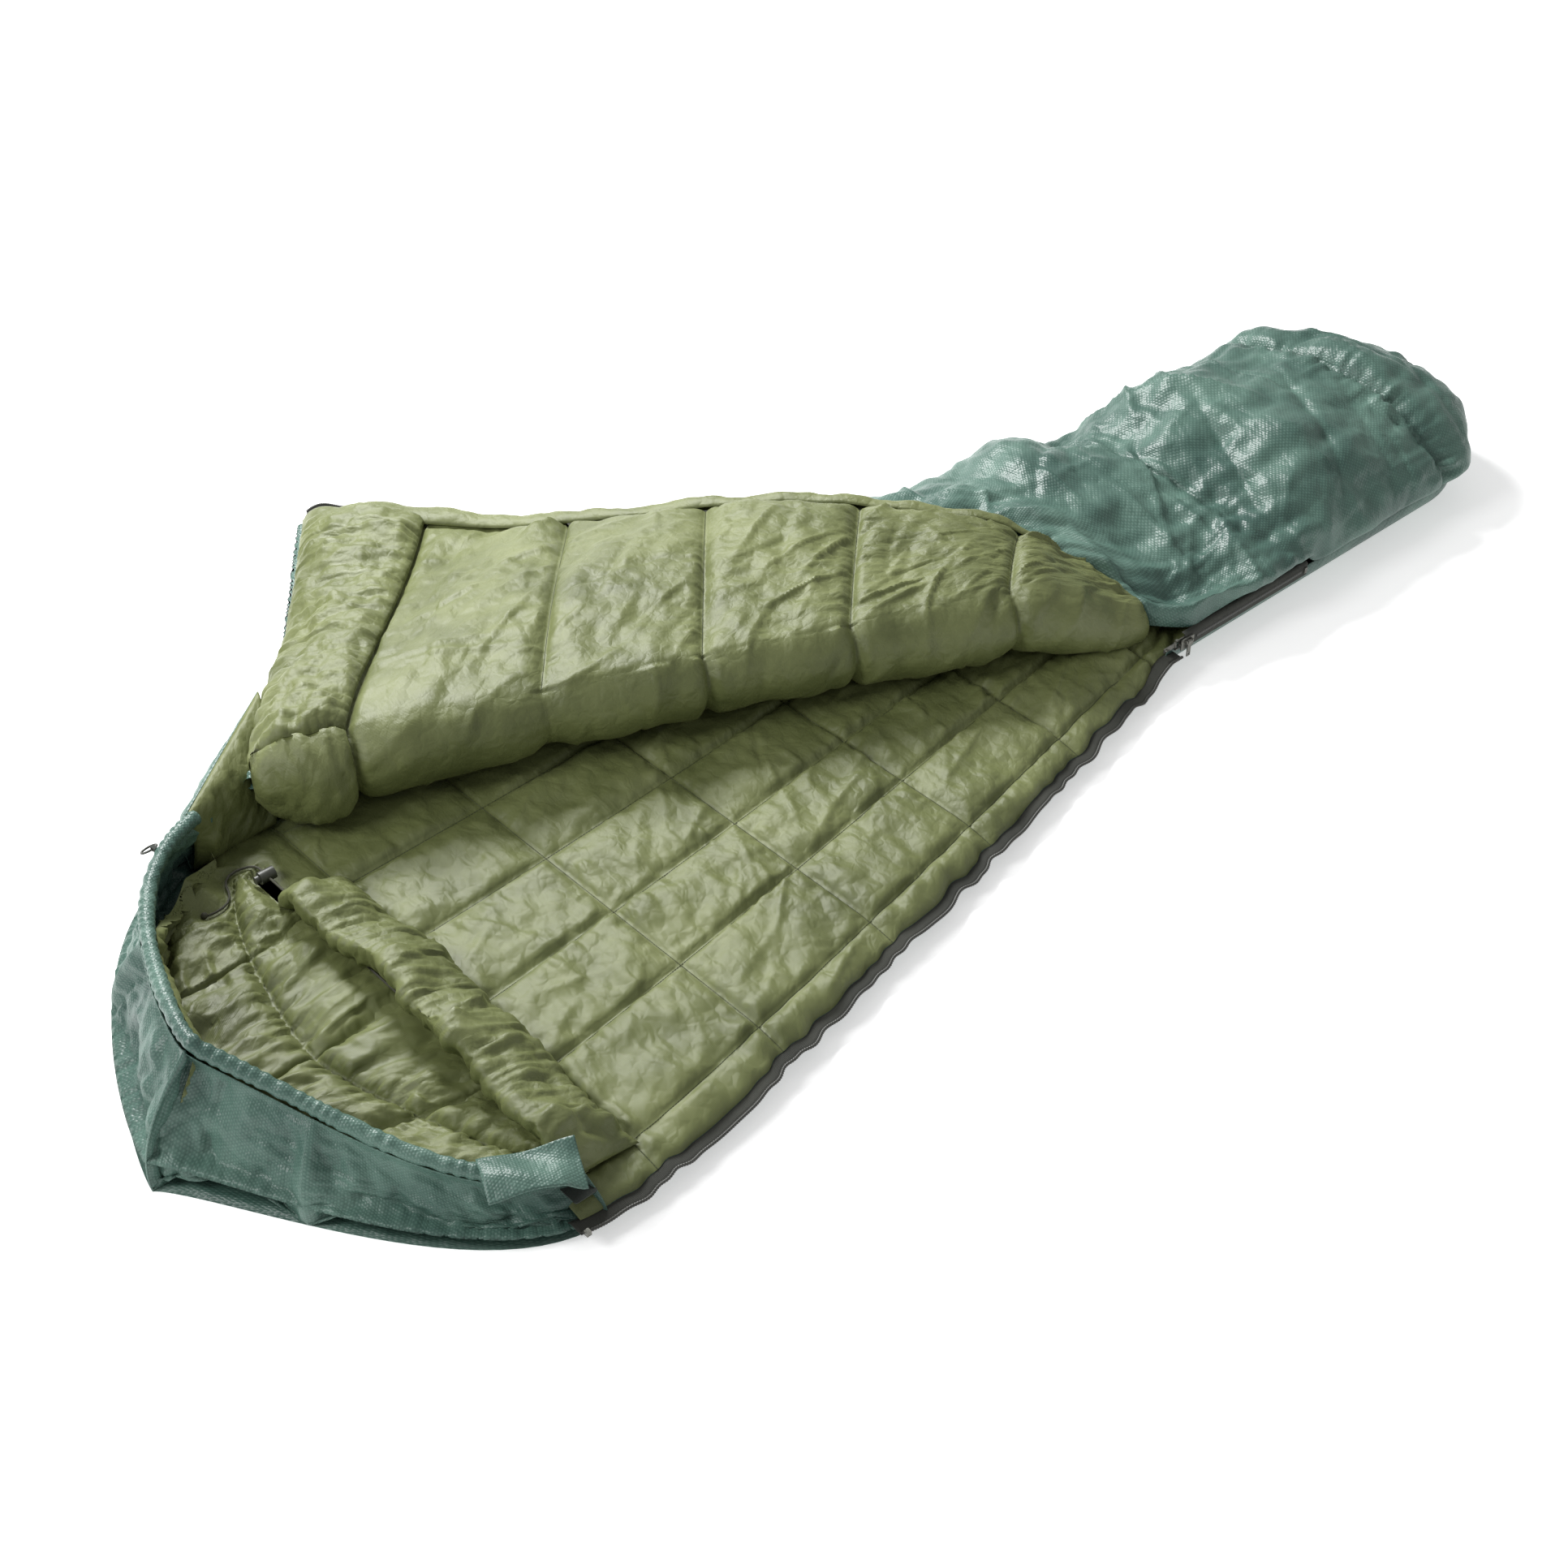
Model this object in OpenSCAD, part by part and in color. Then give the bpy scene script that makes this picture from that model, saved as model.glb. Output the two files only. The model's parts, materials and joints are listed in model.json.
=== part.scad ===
// Mummy sleeping bag, opened: the upper quilt is unzipped and folded back over the far side.
// Lengths are millimetres. The bag frame has x running from the hood's crown to the foot and y across,
// with the zip on the -y side. place() moves it so that the origin is on the underside, halfway along the bag.

/* [Bag] */
// Length from the hood's crown to the foot
bag_l = 2280; // [2250:10:2350]
// Width over the shoulders
shoulder_w = 770; // [760:5:790]
// How far the shoulders lie to the far side of the hood's axis
shoulder_shift = 30; // [20:2:40]
// Width of the leg tube
foot_w = 418; // [410:2:424]
// How far the leg tube lies to the far side of the hood's axis
bend = 90; // [80:2:96]
// Length of the hood, from its crown to the neck
hood_l = 330; // [320:2:340]
// Height of the foot box
foot_h = 190; // [180:5:215]

/* [Quilt] */
// Thickness of one quilted layer, skins included
quilt_t = 42; // [38:1:44]
// Thickness of the fabric skins
skin_t = 2; // [1:0.5:3]
// Height of the air gap under the folded upper quilt
leg_gap = 22; // [18:1:26]

/* [Hood] */
// Height of the rim at the crown
rim_crown_h = 165; // [150:5:175]
// Height of the rim at the neck, zip side
rim_near_h = 56; // [52:1:62]
// Height of the rim at the neck, far side
rim_far_h = 118; // [105:1:125]
// Radius of the drawcord hem
hem_r = 9; // [7:0.5:10]

/* [Zip] */
// Width of each zip tape that shows beyond the quilt
tape_w = 16; // [14:1:18]
// Radius of a zip coil
coil_r = 3; // [2.5:0.25:3.5]
// Length of the slider
slider_l = 26; // [24:1:28]
// Length of a zip pull
pull_l = 24; // [20:1:26]

/* [Neck] */
// Depth of the neck baffle, front to back
baffle_w = 85; // [75:5:90]
// Height of the neck baffle
baffle_h = 45; // [35:5:48]
// Radius of the elastic cord
cord_r = 1.5; // [1.25:0.25:1.75]

/* [Hidden] */
$fn = 40;

gap = 0.3;                       // clearance between skins and fill
edge_t = 22;                     // thickness of the flap's edge at the zip
side_t = 14;                     // thickness of the upper quilt where it meets the back quilt
pad_lift = 3.5;                  // height of the flap's pads over its lining
fold_head = [390, 400];          // hood end of the fold line of the upper quilt
fold_foot = [1515, -62];         // foot end of the fold line, beside the slider
taper_from = 400;                // the outline starts to narrow here
taper_to = 1495;                 // the zip side reaches the leg tube here
near_foot = bend - foot_w / 2;
far_foot = bend + foot_w / 2;
near_neck = shoulder_shift - shoulder_w / 2;
far_neck = shoulder_shift + shoulder_w / 2;
cap_x = bag_l - 110;             // the foot box's end panel starts here
cap_z = 85;                      // height of the widest level of the end panel
far_slope = 110;                 // the upper quilt slopes down over this width at the far side
flap_reach = 380;                // the flap comes down to the ground this far past the far edge
leg_z = quilt_t + leg_gap;       // underside of the upper quilt where it lies flat
fold_z = 2 * quilt_t + leg_gap + gap / 2;  // height of the fold line
zip_from = 290;                  // hood end of the open zip
open_zip_end = 1486;             // the open tapes end here, ahead of the slider
slider_x = 1533;                 // middle of the slider at rest
zip_z = 46;                      // height of the closed zip
zip_y = near_foot - 6;           // the closed zip's middle plane
zip_end_x = 1800;                // foot end of the zip
tape_gap = 1;                    // gap between the back quilt's edge and its zip tape
shin_x = 1590;                   // the quilt is in two lengths, which meet here
thigh_close = [1440, 1500, 1555];  // the thigh's grid rows lie closer between the last two
pull_room = 30;                  // hollow in the quilt beside the closed zip, for the inner pull
pull_room_end = 1715;            // the hollow starts to close here
pull_room_close = 60;            // length over which it closes
chain_gap = 2.2;                 // gap between the two coils, where the slider's post runs
hub_x = 300;                     // the hood's walls lean towards this point of the axis
baffle_x = 325;                  // hood side of the neck baffle
baffle_y = [-300, 250];          // ends of the neck baffle
lock_at = [338, 299, 52];        // middle of the cord lock
tail_z = quilt_t + 2;            // height of the cord where it lies on the hood's lining
tail = [[338, 251, 52], [338, 262, 52], [338, 273, 52], [338, 284, 52], [338, 295, 52], [338, 306, 52],
        [338, 316, 52], [337, 324, 50], [333, 332, tail_z + 3], [326, 337, tail_z + 1], [317, 339, tail_z],
        [308, 337, tail_z], [300, 331, tail_z], [295, 322, tail_z], [292, 312, tail_z], [288, 303, tail_z],
        [281, 296, tail_z], [272, 292, tail_z], [262, 291, tail_z], [252, 292, tail_z]];
near_power = 2.5;                // shape of the hood's zip side, 1 is an ellipse
far_power = 1.6;                 // shape of the hood's far side
ring_at = 70;                    // place of the ring on the rim, as an angle from the crown
ring_lean = 60;                  // the ring's lean from hanging straight down
tab_from = [226, -290];          // hinge end of the closure tab
tab_l = 104;                     // length of the closure tab
tab_w = 58;                      // width of the closure tab
tab_z = 89;                      // height of the closure tab
tab_turn = -24;                  // the tab's turn from the bag's axis
olive = [0.55, 0.58, 0.38];
teal = [0.32, 0.45, 0.40];
dark = [0.18, 0.19, 0.17];

// ---- small functions ----
function lerp(a, b, t) = a + (b - a) * t;
function clamp(t) = min(max(t, 0), 1);
function smooth(t) = let (c = clamp(t)) c * c * (3 - 2 * c);
function unit(v) = v / norm(v);
function steps(a, b, n) = [for (i = [0 : n]) lerp(a, b, i / n)];
function flat(rows) = [for (r = rows) for (p = r) p];
function between(a, b, t) =
    [for (i = [0 : len(a) - 1]) [for (j = [0 : len(a[0]) - 1]) lerp(a[i][j], b[i][j], t)]];

// The bag's outline: the zip side's y and the far side's y at x
function hood_share(x, power) = pow(1 - pow(1 - clamp(x / hood_l), 2), power / 2);
function taper(x, to, power) = pow(clamp((x - taper_from) / (to - taper_from)), power);
function near_y(x) = x < hood_l ? near_neck * hood_share(x, near_power)
    : lerp(near_neck, near_foot, taper(x, taper_to, 1.12));
function far_y(x) = x < hood_l ? far_neck * hood_share(x, far_power)
    : lerp(far_neck, far_foot, smooth((x - 1000) / 1150));

// The fold line and what is mirrored across it
fold_dir = unit(fold_foot - fold_head);
fold_out = [-fold_dir.y, fold_dir.x];
function mirrored(p) = p - 2 * ((p - fold_head) * fold_out) * fold_out;
function fold_y(x) = lerp(fold_head.y, fold_foot.y, (x - fold_head.x) / (fold_foot.x - fold_head.x));
function flap_edge(s) = let (x = lerp(zip_from - 5, open_zip_end - 16, s)) mirrored([x, near_y(x)]);
function flap_xy(s, v) = lerp(lerp(fold_head, fold_foot, s), flap_edge(s), v);

// The origin is on the underside, halfway along the bag
module place() { translate([-bag_l / 2, 0, 0]) children(); }

// A closed sheet between two grids of points that have the same rows and columns
module sheet(lower, upper) {
    n = len(lower);
    m = len(lower[0]);
    k = n * m;
    function quad(a, b, c, d) = [[a, b, c], [a, c, d]];
    faces = concat(
        [for (i = [0 : n - 2]) for (j = [0 : m - 2])
            each quad(i * m + j, (i + 1) * m + j, (i + 1) * m + j + 1, i * m + j + 1)],
        [for (i = [0 : n - 2]) for (j = [0 : m - 2])
            each quad(k + i * m + j, k + i * m + j + 1, k + (i + 1) * m + j + 1, k + (i + 1) * m + j)],
        [for (i = [0 : n - 2])
            each quad(i * m, k + i * m, k + (i + 1) * m, (i + 1) * m)],
        [for (i = [0 : n - 2])
            each quad(i * m + m - 1, (i + 1) * m + m - 1, k + (i + 1) * m + m - 1, k + i * m + m - 1)],
        [for (j = [0 : m - 2]) each quad(j, j + 1, k + j + 1, k + j)],
        [for (j = [0 : m - 2])
            each quad((n - 1) * m + j, k + (n - 1) * m + j, k + (n - 1) * m + j + 1, (n - 1) * m + j + 1)]);
    polyhedron(points = concat(flat(lower), flat(upper)), faces = faces, convexity = 10);
}

// One layer of a quilt: from share t0 to share t1 of the way between its two faces
module layer(a, b, t0, t1) { sheet(between(a, b, t0), between(a, b, t1)); }

// A round tube along a list of points
module tube(path, r, sides = 8) {
    n = len(path);
    function along(i) = unit(path[min(i + 1, n - 1)] - path[max(i - 1, 0)]);
    rings = [for (i = [0 : n - 1])
        let (d = along(i), a = unit(cross(d, [0, 0, 1])), b = cross(a, d))
        [for (j = [0 : sides - 1]) path[i] + r * (cos(360 * j / sides) * a + sin(360 * j / sides) * b)]];
    side_faces = [for (i = [0 : n - 2]) for (j = [0 : sides - 1])
        let (p = i * sides + j, q = i * sides + (j + 1) % sides)
        each [[p, q, q + sides], [p, q + sides, p + sides]]];
    ends = [[for (j = [0 : sides - 1]) sides - 1 - j], [for (j = [0 : sides - 1]) (n - 1) * sides + j]];
    polyhedron(points = flat(rings), faces = concat(side_faces, ends), convexity = 10);
}

// ---- back quilt ----
module outline_slab(x0, x1, z0, z1, n) {
    xs = steps(x0, x1, n);
    translate([0, 0, z0]) linear_extrude(z1 - z0)
        polygon(concat([for (x = xs) [x, near_y(x)]], [for (i = [n : -1 : 0]) [xs[i], far_y(xs[i])]]));
}
module back_shell() color(teal) place() outline_slab(hood_l + gap, cap_x, 0, skin_t, 36);
module back_fill() color("white") place()
    outline_slab(hood_l + gap, cap_x, skin_t + gap, quilt_t - skin_t - gap, 36);
module back_lining() color(olive) place() outline_slab(hood_l + gap, cap_x, quilt_t - skin_t, quilt_t, 36);

// ---- hood ----
function hood_xy(a) = let (x = hood_l * (1 - cos(a))) [x, a < 0 ? near_y(x) : far_y(x)];
module hood_slab(z0, z1) {
    translate([0, 0, z0]) linear_extrude(z1 - z0) polygon([for (a = [-90 : 6 : 90]) hood_xy(a)]);
}
function rim_h(a) = lerp(rim_crown_h, a < 0 ? rim_near_h : rim_far_h, smooth(abs(a) / 90));
// The wall's outer face (depth 0) and inner face (depth 1) at angle a from the crown and share h of its height
function wall(a, h, depth) =
    let (p = hood_xy(a), inward = unit([hub_x, 0] - p), lean = lerp(70, 30, abs(a) / 90),
         off = lean * pow(h, 1.6) - 8 * sin(180 * h) + depth * lerp(36, 20, h))
    [p.x + inward.x * off, p.y + inward.y * off, lerp(quilt_t + gap, rim_h(a), h)];
function wall_grid(a0, a1, n, depth) =
    [for (a = steps(a0, a1, n)) [for (h = steps(0, 1, 5)) wall(a, h, depth)]];
module wall_layer(a0, a1, n, t0, t1) {
    layer(wall_grid(a0, a1, n, 1), wall_grid(a0, a1, n, 0), 1 - t1, 1 - t0);
}
// The middle of the wall's top edge at angle a, raised
function wall_top(a, rise) = (wall(a, 1, 0) + wall(a, 1, 1)) / 2 + [0, 0, rise];
rim_path = [for (a = steps(-82, 82, 40)) wall_top(a, hem_r + 2)];
rim_inner = [for (a = steps(-84, 84, 40)) wall_top(a, hem_r + 2)];

module hood_base_shell() color(teal) place() hood_slab(0, skin_t);
module hood_base_fill() color("white") place() hood_slab(skin_t + gap, quilt_t - skin_t - gap);
module hood_base_lining() color(olive) place() hood_slab(quilt_t - skin_t, quilt_t);
module hood_side_near_shell() color(teal) place() wall_layer(-84, -0.5, 12, 0, 0.06);
module hood_side_far_shell() color(teal) place() wall_layer(0.5, 84, 12, 0, 0.06);
module hood_near_fill() color("white") place() wall_layer(-84, -0.5, 12, 0.08, 0.92);
module hood_far_fill() color("white") place() wall_layer(0.5, 84, 12, 0.08, 0.92);
module hood_side_lining() color(olive) place() wall_layer(-84, 84, 24, 0.94, 1);
module hood_hem() color(teal) place() difference() {
    tube(rim_path, hem_r);
    tube(rim_inner, cord_r + 1);
}
module hood_drawcord() color(dark) place() tube(rim_path, cord_r);

// The hood's far wall runs on past the neck, to the fold
gusset_x = [297, 366];
function gusset_pt(x, h, depth) =
    [x, far_y(x) - 30 * pow(h, 1.6) - depth * lerp(36, 20, h),
     lerp(quilt_t + gap, lerp(rim_far_h, fold_z - 2, (x - gusset_x[0]) / (gusset_x[1] - gusset_x[0])), h)];
function gusset_grid(depth) =
    [for (x = steps(gusset_x[0], gusset_x[1], 4)) [for (h = steps(0, 1, 5)) gusset_pt(x, h, depth)]];
module hood_gusset() color(teal) place() sheet(gusset_grid(1), gusset_grid(0));

ring_r = 10;                     // radius of the ring, to the middle of its wire
ring_hem = wall_top(ring_at, hem_r);
ring_out = unit([ring_hem.x - hub_x, ring_hem.y]);
ring_turn = atan2(ring_out.y, ring_out.x);
module at_ring() { translate(ring_hem) rotate(ring_turn) children(); }
module hood_ring_tab() color(dark) place() at_ring() difference() {
    translate([hem_r - 1, -2, -3]) cube([8, 4, 6]);
    translate([hem_r + 4, -3, 0]) rotate([-90, 0, 0]) cylinder(r = 1.9, h = 6);
}
module hood_ring() color(dark) place() at_ring()
    translate([hem_r + 4, 0, 0]) rotate([0, -ring_lean, 0]) translate([0, 0, -ring_r]) rotate([0, 90, 0])
        rotate_extrude() translate([ring_r, 0]) circle(r = 1.4, $fn = 24);

// ---- upper quilt: the part that stays on the legs, and the foot box ----
function tube_h(x) = lerp(foot_h - 25, foot_h, smooth((x - 1500) / 500));
function leg_share(x, y) = smooth((x - 1630 + 0.75 * (y + 60)) / 260);
function leg_near_y(x) =
    x < fold_foot.x ? fold_y(x)
    : let (hollow = pull_room * (1 - smooth((x - pull_room_end) / pull_room_close)))
        lerp(fold_foot.y, near_y(x) + hollow, smooth((x - fold_foot.x) / 40));
function leg_rise(x, y) =
    let (g = leg_share(x, y), r = lerp(far_slope, (far_y(x) - near_y(x)) / 2, g),
         d = clamp(min(far_y(x) - y, y - near_y(x)) / r), e = sqrt(1 - pow(1 - d, 2)))
    y > 100 ? e : lerp(1, e, smooth((x - 1590) / 90));
function leg_pt(x, v, side) =
    let (y = lerp(leg_near_y(x), far_y(x), v), g = leg_share(x, y), e = leg_rise(x, y),
         z_in = lerp(quilt_t + gap, lerp(leg_z, tube_h(x) - quilt_t, g), e),
         z_out = lerp(quilt_t + side_t, lerp(fold_z - gap, tube_h(x), g), e))
    [x, y, side == 0 ? z_out : z_in];
thigh_xs = concat(steps(fold_head.x + 10, thigh_close[0], 12),
                  steps(thigh_close[1], thigh_close[2], 4), [shin_x]);
shin_xs = concat([shin_x + gap], steps(shin_x + 50, cap_x - gap, 11));
function leg_grid(xs, side) = [for (x = xs) [for (v = steps(0, 1, 14)) leg_pt(x, v, side)]];
module leg_layer(xs, t0, t1) { layer(leg_grid(xs, 1), leg_grid(xs, 0), 1 - t1, 1 - t0); }
module leg_shell() color(teal) place() leg_layer(concat(thigh_xs, shin_xs), 0, 0.05);
module thigh_fill() color("white") place() leg_layer(thigh_xs, 0.07, 0.93);
module shin_fill() color("white") place() leg_layer(shin_xs, 0.07, 0.93);
module leg_lining() color(olive) place() leg_layer(concat(thigh_xs, shin_xs), 0.95, 1);

module dome(inset, floor_z, ahead) {
    intersection() {
        translate([cap_x, bend, cap_z])
            scale([bag_l - cap_x - inset, foot_w / 2 - inset, foot_h - cap_z - inset]) sphere(r = 1, $fn = 36);
        translate([cap_x + gap - ahead, -foot_w, floor_z]) cube([200, 2 * foot_w, 2 * foot_h]);
    }
}
module dome_layer(inset0, floor0, inset1, floor1) {
    difference() {
        dome(inset0, floor0, 0);
        dome(inset1, floor1, 5);
    }
}
module foot_end_shell() color(teal) place() dome_layer(0, skin_t, skin_t, 2 * skin_t);
module foot_end_fill() color("white") place()
    dome_layer(skin_t + gap, 2 * skin_t + gap, quilt_t - skin_t - gap, quilt_t - skin_t - gap);
module foot_end_lining() color(olive) place() dome_layer(quilt_t - skin_t, quilt_t - skin_t, quilt_t, quilt_t);

// ---- upper quilt: the fold ----
// A half round bar along the fold line, between two radii
module half_round(r0, r1) {
    turn = atan2(fold_dir.y, fold_dir.x);
    translate([fold_head.x, fold_head.y, fold_z]) rotate(turn) difference() {
        rotate([0, 90, 0]) cylinder(r = r1, h = norm(fold_foot - fold_head));
        translate([-1, 0, 0]) rotate([0, 90, 0]) cylinder(r = r0, h = norm(fold_foot - fold_head) + 2);
        translate([-1, -gap, -r1 - 1]) cube([norm(fold_foot - fold_head) + 2, r1 + 2, 2 * r1 + 2]);
    }
}
module fold_fill() color("white") place() half_round(2, quilt_t - skin_t - gap);
module fold_lining() color(olive) place() half_round(quilt_t - skin_t, quilt_t);

// ---- upper quilt: the flap that is folded back ----
function flap_start(x) = max(far_y(x) - far_slope + 10, fold_y(x) + 20);
function flap_low(p) =
    let (start = flap_start(p.x)) (fold_z + 2) * (1 - smooth((p.y - start) / (far_y(p.x) + flap_reach - start)));
function flap_thick(v) = lerp(quilt_t, edge_t, clamp((v - 6 / 7) * 7));
function flap_pt(s, v, side) =
    let (p = flap_xy(s, v), z = flap_low(p)) [p.x, p.y, z + side * flap_thick(v)];
function flap_grid(side) = [for (s = steps(0, 1, 24)) [for (v = steps(0, 1, 14)) flap_pt(s, v, side)]];
module flap_layer(t0, t1) { layer(flap_grid(0), flap_grid(1), t0, t1); }
module flap_shell() color(teal) place() flap_layer(0, 0.05);
module flap_fill() color("white") place() flap_layer(0.07, 0.93);
module flap_lining() color(olive) place() flap_layer(0.95, 1);

// A pad on the flap's lining. Its rows run along the pad and its columns across it.
module pad(rows, height) {
    sheet([for (r = rows) [for (p = r) p + [0, 0, pad_lift]]],
          [for (r = rows) [for (j = [0 : len(r) - 1])
              r[j] + [0, 0, pad_lift + 1 + height * pow(sin(180 * (j + 0.3) / (len(r) - 0.4)), 0.7)]]]);
}
module flap_neck_baffle() color(olive) place()
    pad([for (v = steps(0.22, 0.9, 14)) [for (s = steps(0.012, 0.14, 6)) flap_pt(s, v, 1)]], baffle_h - 8);
module flap_draft_tube() color(olive) place()
    pad([for (s = steps(0.16, 0.97, 24)) [for (v = steps(0.9, 0.985, 5)) flap_pt(s, v, 1)]], 20);
flap_hem_path = [for (v = steps(0.06, 0.97, 16))
    let (p = flap_pt(0, v, 0.5), out = unit(flap_xy(0, v) - flap_xy(0.05, v))) p + 11 * [out.x, out.y, 0]];
module flap_hem() color(teal) place() tube(flap_hem_path, hem_r);

// ---- zip ----
function flap_zip_pt(s, off, dz) =
    let (p = flap_pt(s, 1, 0), out = unit(flap_xy(s, 1) - flap_xy(s, 0)))
    [p.x + out.x * off, p.y + out.y * off, p.z + 11 + dz];
module flap_zip_tape() color(dark) place()
    sheet([for (s = steps(0.005, 0.985, 40)) [for (o = [gap, tape_w]) flap_zip_pt(s, o, -0.6)]],
          [for (s = steps(0.005, 0.985, 40)) [for (o = [gap, tape_w]) flap_zip_pt(s, o, 0.6)]]);
module flap_zip_coil() color(dark) place()
    tube([for (s = steps(0.02, 0.985, 40)) flap_zip_pt(s, tape_w + coil_r + 1, 0)], coil_r);
module flap_zip_stop() color("gray") place()
    translate(flap_zip_pt(0.01, tape_w + coil_r + 1, 0)) cube([6, 6, 6], center = true);

function back_zip_pt(x, off, dz) = [x, near_y(x) - off, 24 + 14 * smooth((x - 1300) / 180) + dz];
module back_zip_tape() color(dark) place()
    sheet([for (x = steps(zip_from, open_zip_end, 40)) [for (o = [tape_w, tape_gap]) back_zip_pt(x, o, -0.6)]],
          [for (x = steps(zip_from, open_zip_end, 40)) [for (o = [tape_w, tape_gap]) back_zip_pt(x, o, 0.6)]]);
module back_zip_coil() color(dark) place()
    tube([for (x = steps(zip_from + 12, open_zip_end, 40)) back_zip_pt(x, tape_w + coil_r + 1, 0)], coil_r);
module back_zip_stop() color("gray") place()
    translate(back_zip_pt(zip_from + 5, tape_w + coil_r + 1, 0)) cube([6, 6, 6], center = true);

chain_w = 3.4;                   // height of one closed coil
chain_t = 3;                     // thickness of the closed coils
web = 12;                        // half the height of the closed tapes
module closed_zip_tape() color(dark) place() for (side = [-1, 1])
    translate([slider_x + 18, zip_y, zip_z]) mirror([0, 0, side < 0 ? 1 : 0]) {
        z0 = chain_gap / 2 + chain_w + gap;
        translate([0, -0.6, z0]) cube([zip_end_x - slider_x - 18, 1.2, web - z0]);
        translate([0, -0.6, web - 2]) cube([zip_end_x - slider_x - 18, 6.3, 2]);
    }
module closed_zip_coils() color(dark) place() for (side = [-1, 1])
    translate([slider_x - 3, zip_y - chain_t / 2, zip_z + (side < 0 ? -chain_gap / 2 - chain_w : chain_gap / 2)])
        cube([zip_end_x - 8 - slider_x + 3, chain_t, chain_w]);
module zip_end_stop() color("gray") place()
    translate([zip_end_x - 7.5, zip_y - 2.5, zip_z - 4.5]) cube([6, 5, 9]);

plate_t = 1.6;                   // thickness of the slider's plates
plate_h = 16;                    // height of the slider's plates
bail_r = 1.1;                    // radius of the wire that each pull hangs from
bail_out = 2;                    // the inner bail stands this far off its plate
module zip_slider() color("gray") place() translate([slider_x, zip_y, zip_z]) {
    for (side = [-1, 1]) {
        translate([-slider_l / 2, side * (chain_t / 2 + gap + plate_t / 2) - plate_t / 2, -plate_h / 2])
            cube([slider_l, plate_t, plate_h]);
        for (edge = [-1, 1])
            translate([-slider_l / 2 + 4, side * 1.6 - (side > 0 ? 0.4 : 0.5), edge * (plate_h / 2 - 0.9) - 0.9])
                cube([slider_l - 4, 0.9, 1.8]);
    }
    translate([-slider_l / 2, -chain_t / 2 - gap - 0.1, -0.8]) cube([5, chain_t + 2 * gap + 0.2, 1.6]);
    for (x = [-7, 5])
        translate([x, -chain_t / 2 - gap - plate_t - 4.5, 2]) cube([2, 4.6, 4]);
    translate([-6, -chain_t / 2 - gap - plate_t - 3, 4]) rotate([0, 90, 0]) cylinder(r = bail_r, h = 12);
    for (z = [-plate_h / 2, plate_h / 2 - 2])
        translate([-slider_l / 2 - 5, chain_t / 2 + gap, z]) cube([5.1, plate_t + bail_out, 2]);
    translate([-slider_l / 2 - 3.6, chain_t / 2 + gap + plate_t / 2 + bail_out, -plate_h / 2])
        cylinder(r = bail_r, h = plate_h);
}
// A pull hangs from its eye, at the origin, along -z; the eye's bore runs along x
module pull() {
    difference() {
        union() {
            translate([-3.5, -0.8, -pull_l]) cube([7, 1.6, pull_l - 1.5]);
            translate([-3.5, 0, 0]) rotate([0, 90, 0]) cylinder(r = 2.1, h = 7);
        }
        translate([-4, 0, 0]) rotate([0, 90, 0]) cylinder(r = bail_r + 0.08, h = 8);
        translate([0, 2, -pull_l + 4.5]) rotate([90, 0, 0]) cylinder(r = 2, h = 4);
    }
}
outer_pull_at = [slider_x, zip_y - chain_t / 2 - gap - plate_t - 3, zip_z + 4];
inner_pull_at = [slider_x - slider_l / 2 - 3.6, zip_y + chain_t / 2 + gap + plate_t / 2 + bail_out, zip_z];
module outer_pull() color("gray") place() translate(outer_pull_at) pull();
module inner_pull() color("gray") place() translate(inner_pull_at) rotate([0, 90, 0]) pull();

// ---- neck baffle and its cord ----
baffle_end = baffle_x + baffle_w;
function baffle_section(inset) =
    let (w = baffle_w / 2 - inset, h = baffle_h - 2 * inset, n = 20)
    concat([[w, 0], [-w, 0]], [for (i = [0 : n]) [-w * cos(180 * i / n), 5 + (h - 5) * pow(sin(180 * i / n), 0.7)]]);
module baffle(inset) {
    translate([baffle_x + baffle_w / 2, baffle_y[1] - inset, quilt_t + gap + inset]) rotate([90, 0, 0])
        linear_extrude(baffle_y[1] - baffle_y[0] - 2 * inset) polygon(baffle_section(inset));
}
module neck_baffle_cover() color(olive) place() difference() {
    baffle(0);
    baffle(skin_t);
}
module neck_baffle_fill() color("white") place() difference() {
    baffle(skin_t + gap);
    translate([lock_at.x, baffle_y[1], lock_at.z]) rotate([90, 0, 0]) cylinder(r = cord_r + 1, h = 600);
}
module neck_drawcord() color(dark) place()
    translate([lock_at.x, baffle_y[1] - skin_t - gap, lock_at.z]) rotate([90, 0, 0])
        cylinder(r = cord_r, h = baffle_y[1] - baffle_y[0] - 2 * skin_t - 2 * gap);
module neck_cord_tail() color(dark) place() tube(tail, cord_r);
module neck_cord_knot() color(dark) place()
    translate(tail[len(tail) - 1] + [-4.6, 0, 2.6]) sphere(r = 4.2, $fn = 24);

barrel_r = 8;                    // radius of the cord lock's barrel
barrel_l = 20;                   // length of the cord lock's barrel
cord_hole_r = 2.2;               // radius of the hole that the cord runs through
button_r = 5;                    // radius of the lock's button
button_travel = 3;               // how far the button can be pressed
module cord_lock_barrel() color(dark) place() translate(lock_at) difference() {
    rotate([0, 90, 0]) cylinder(r = barrel_r, h = barrel_l, center = true);
    translate([-barrel_l / 2 - 1, 0, 0]) rotate([0, 90, 0]) cylinder(r = button_r + 0.1, h = barrel_l - 1);
    rotate([90, 0, 0]) cylinder(r = cord_hole_r, h = 40, center = true);
}
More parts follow.
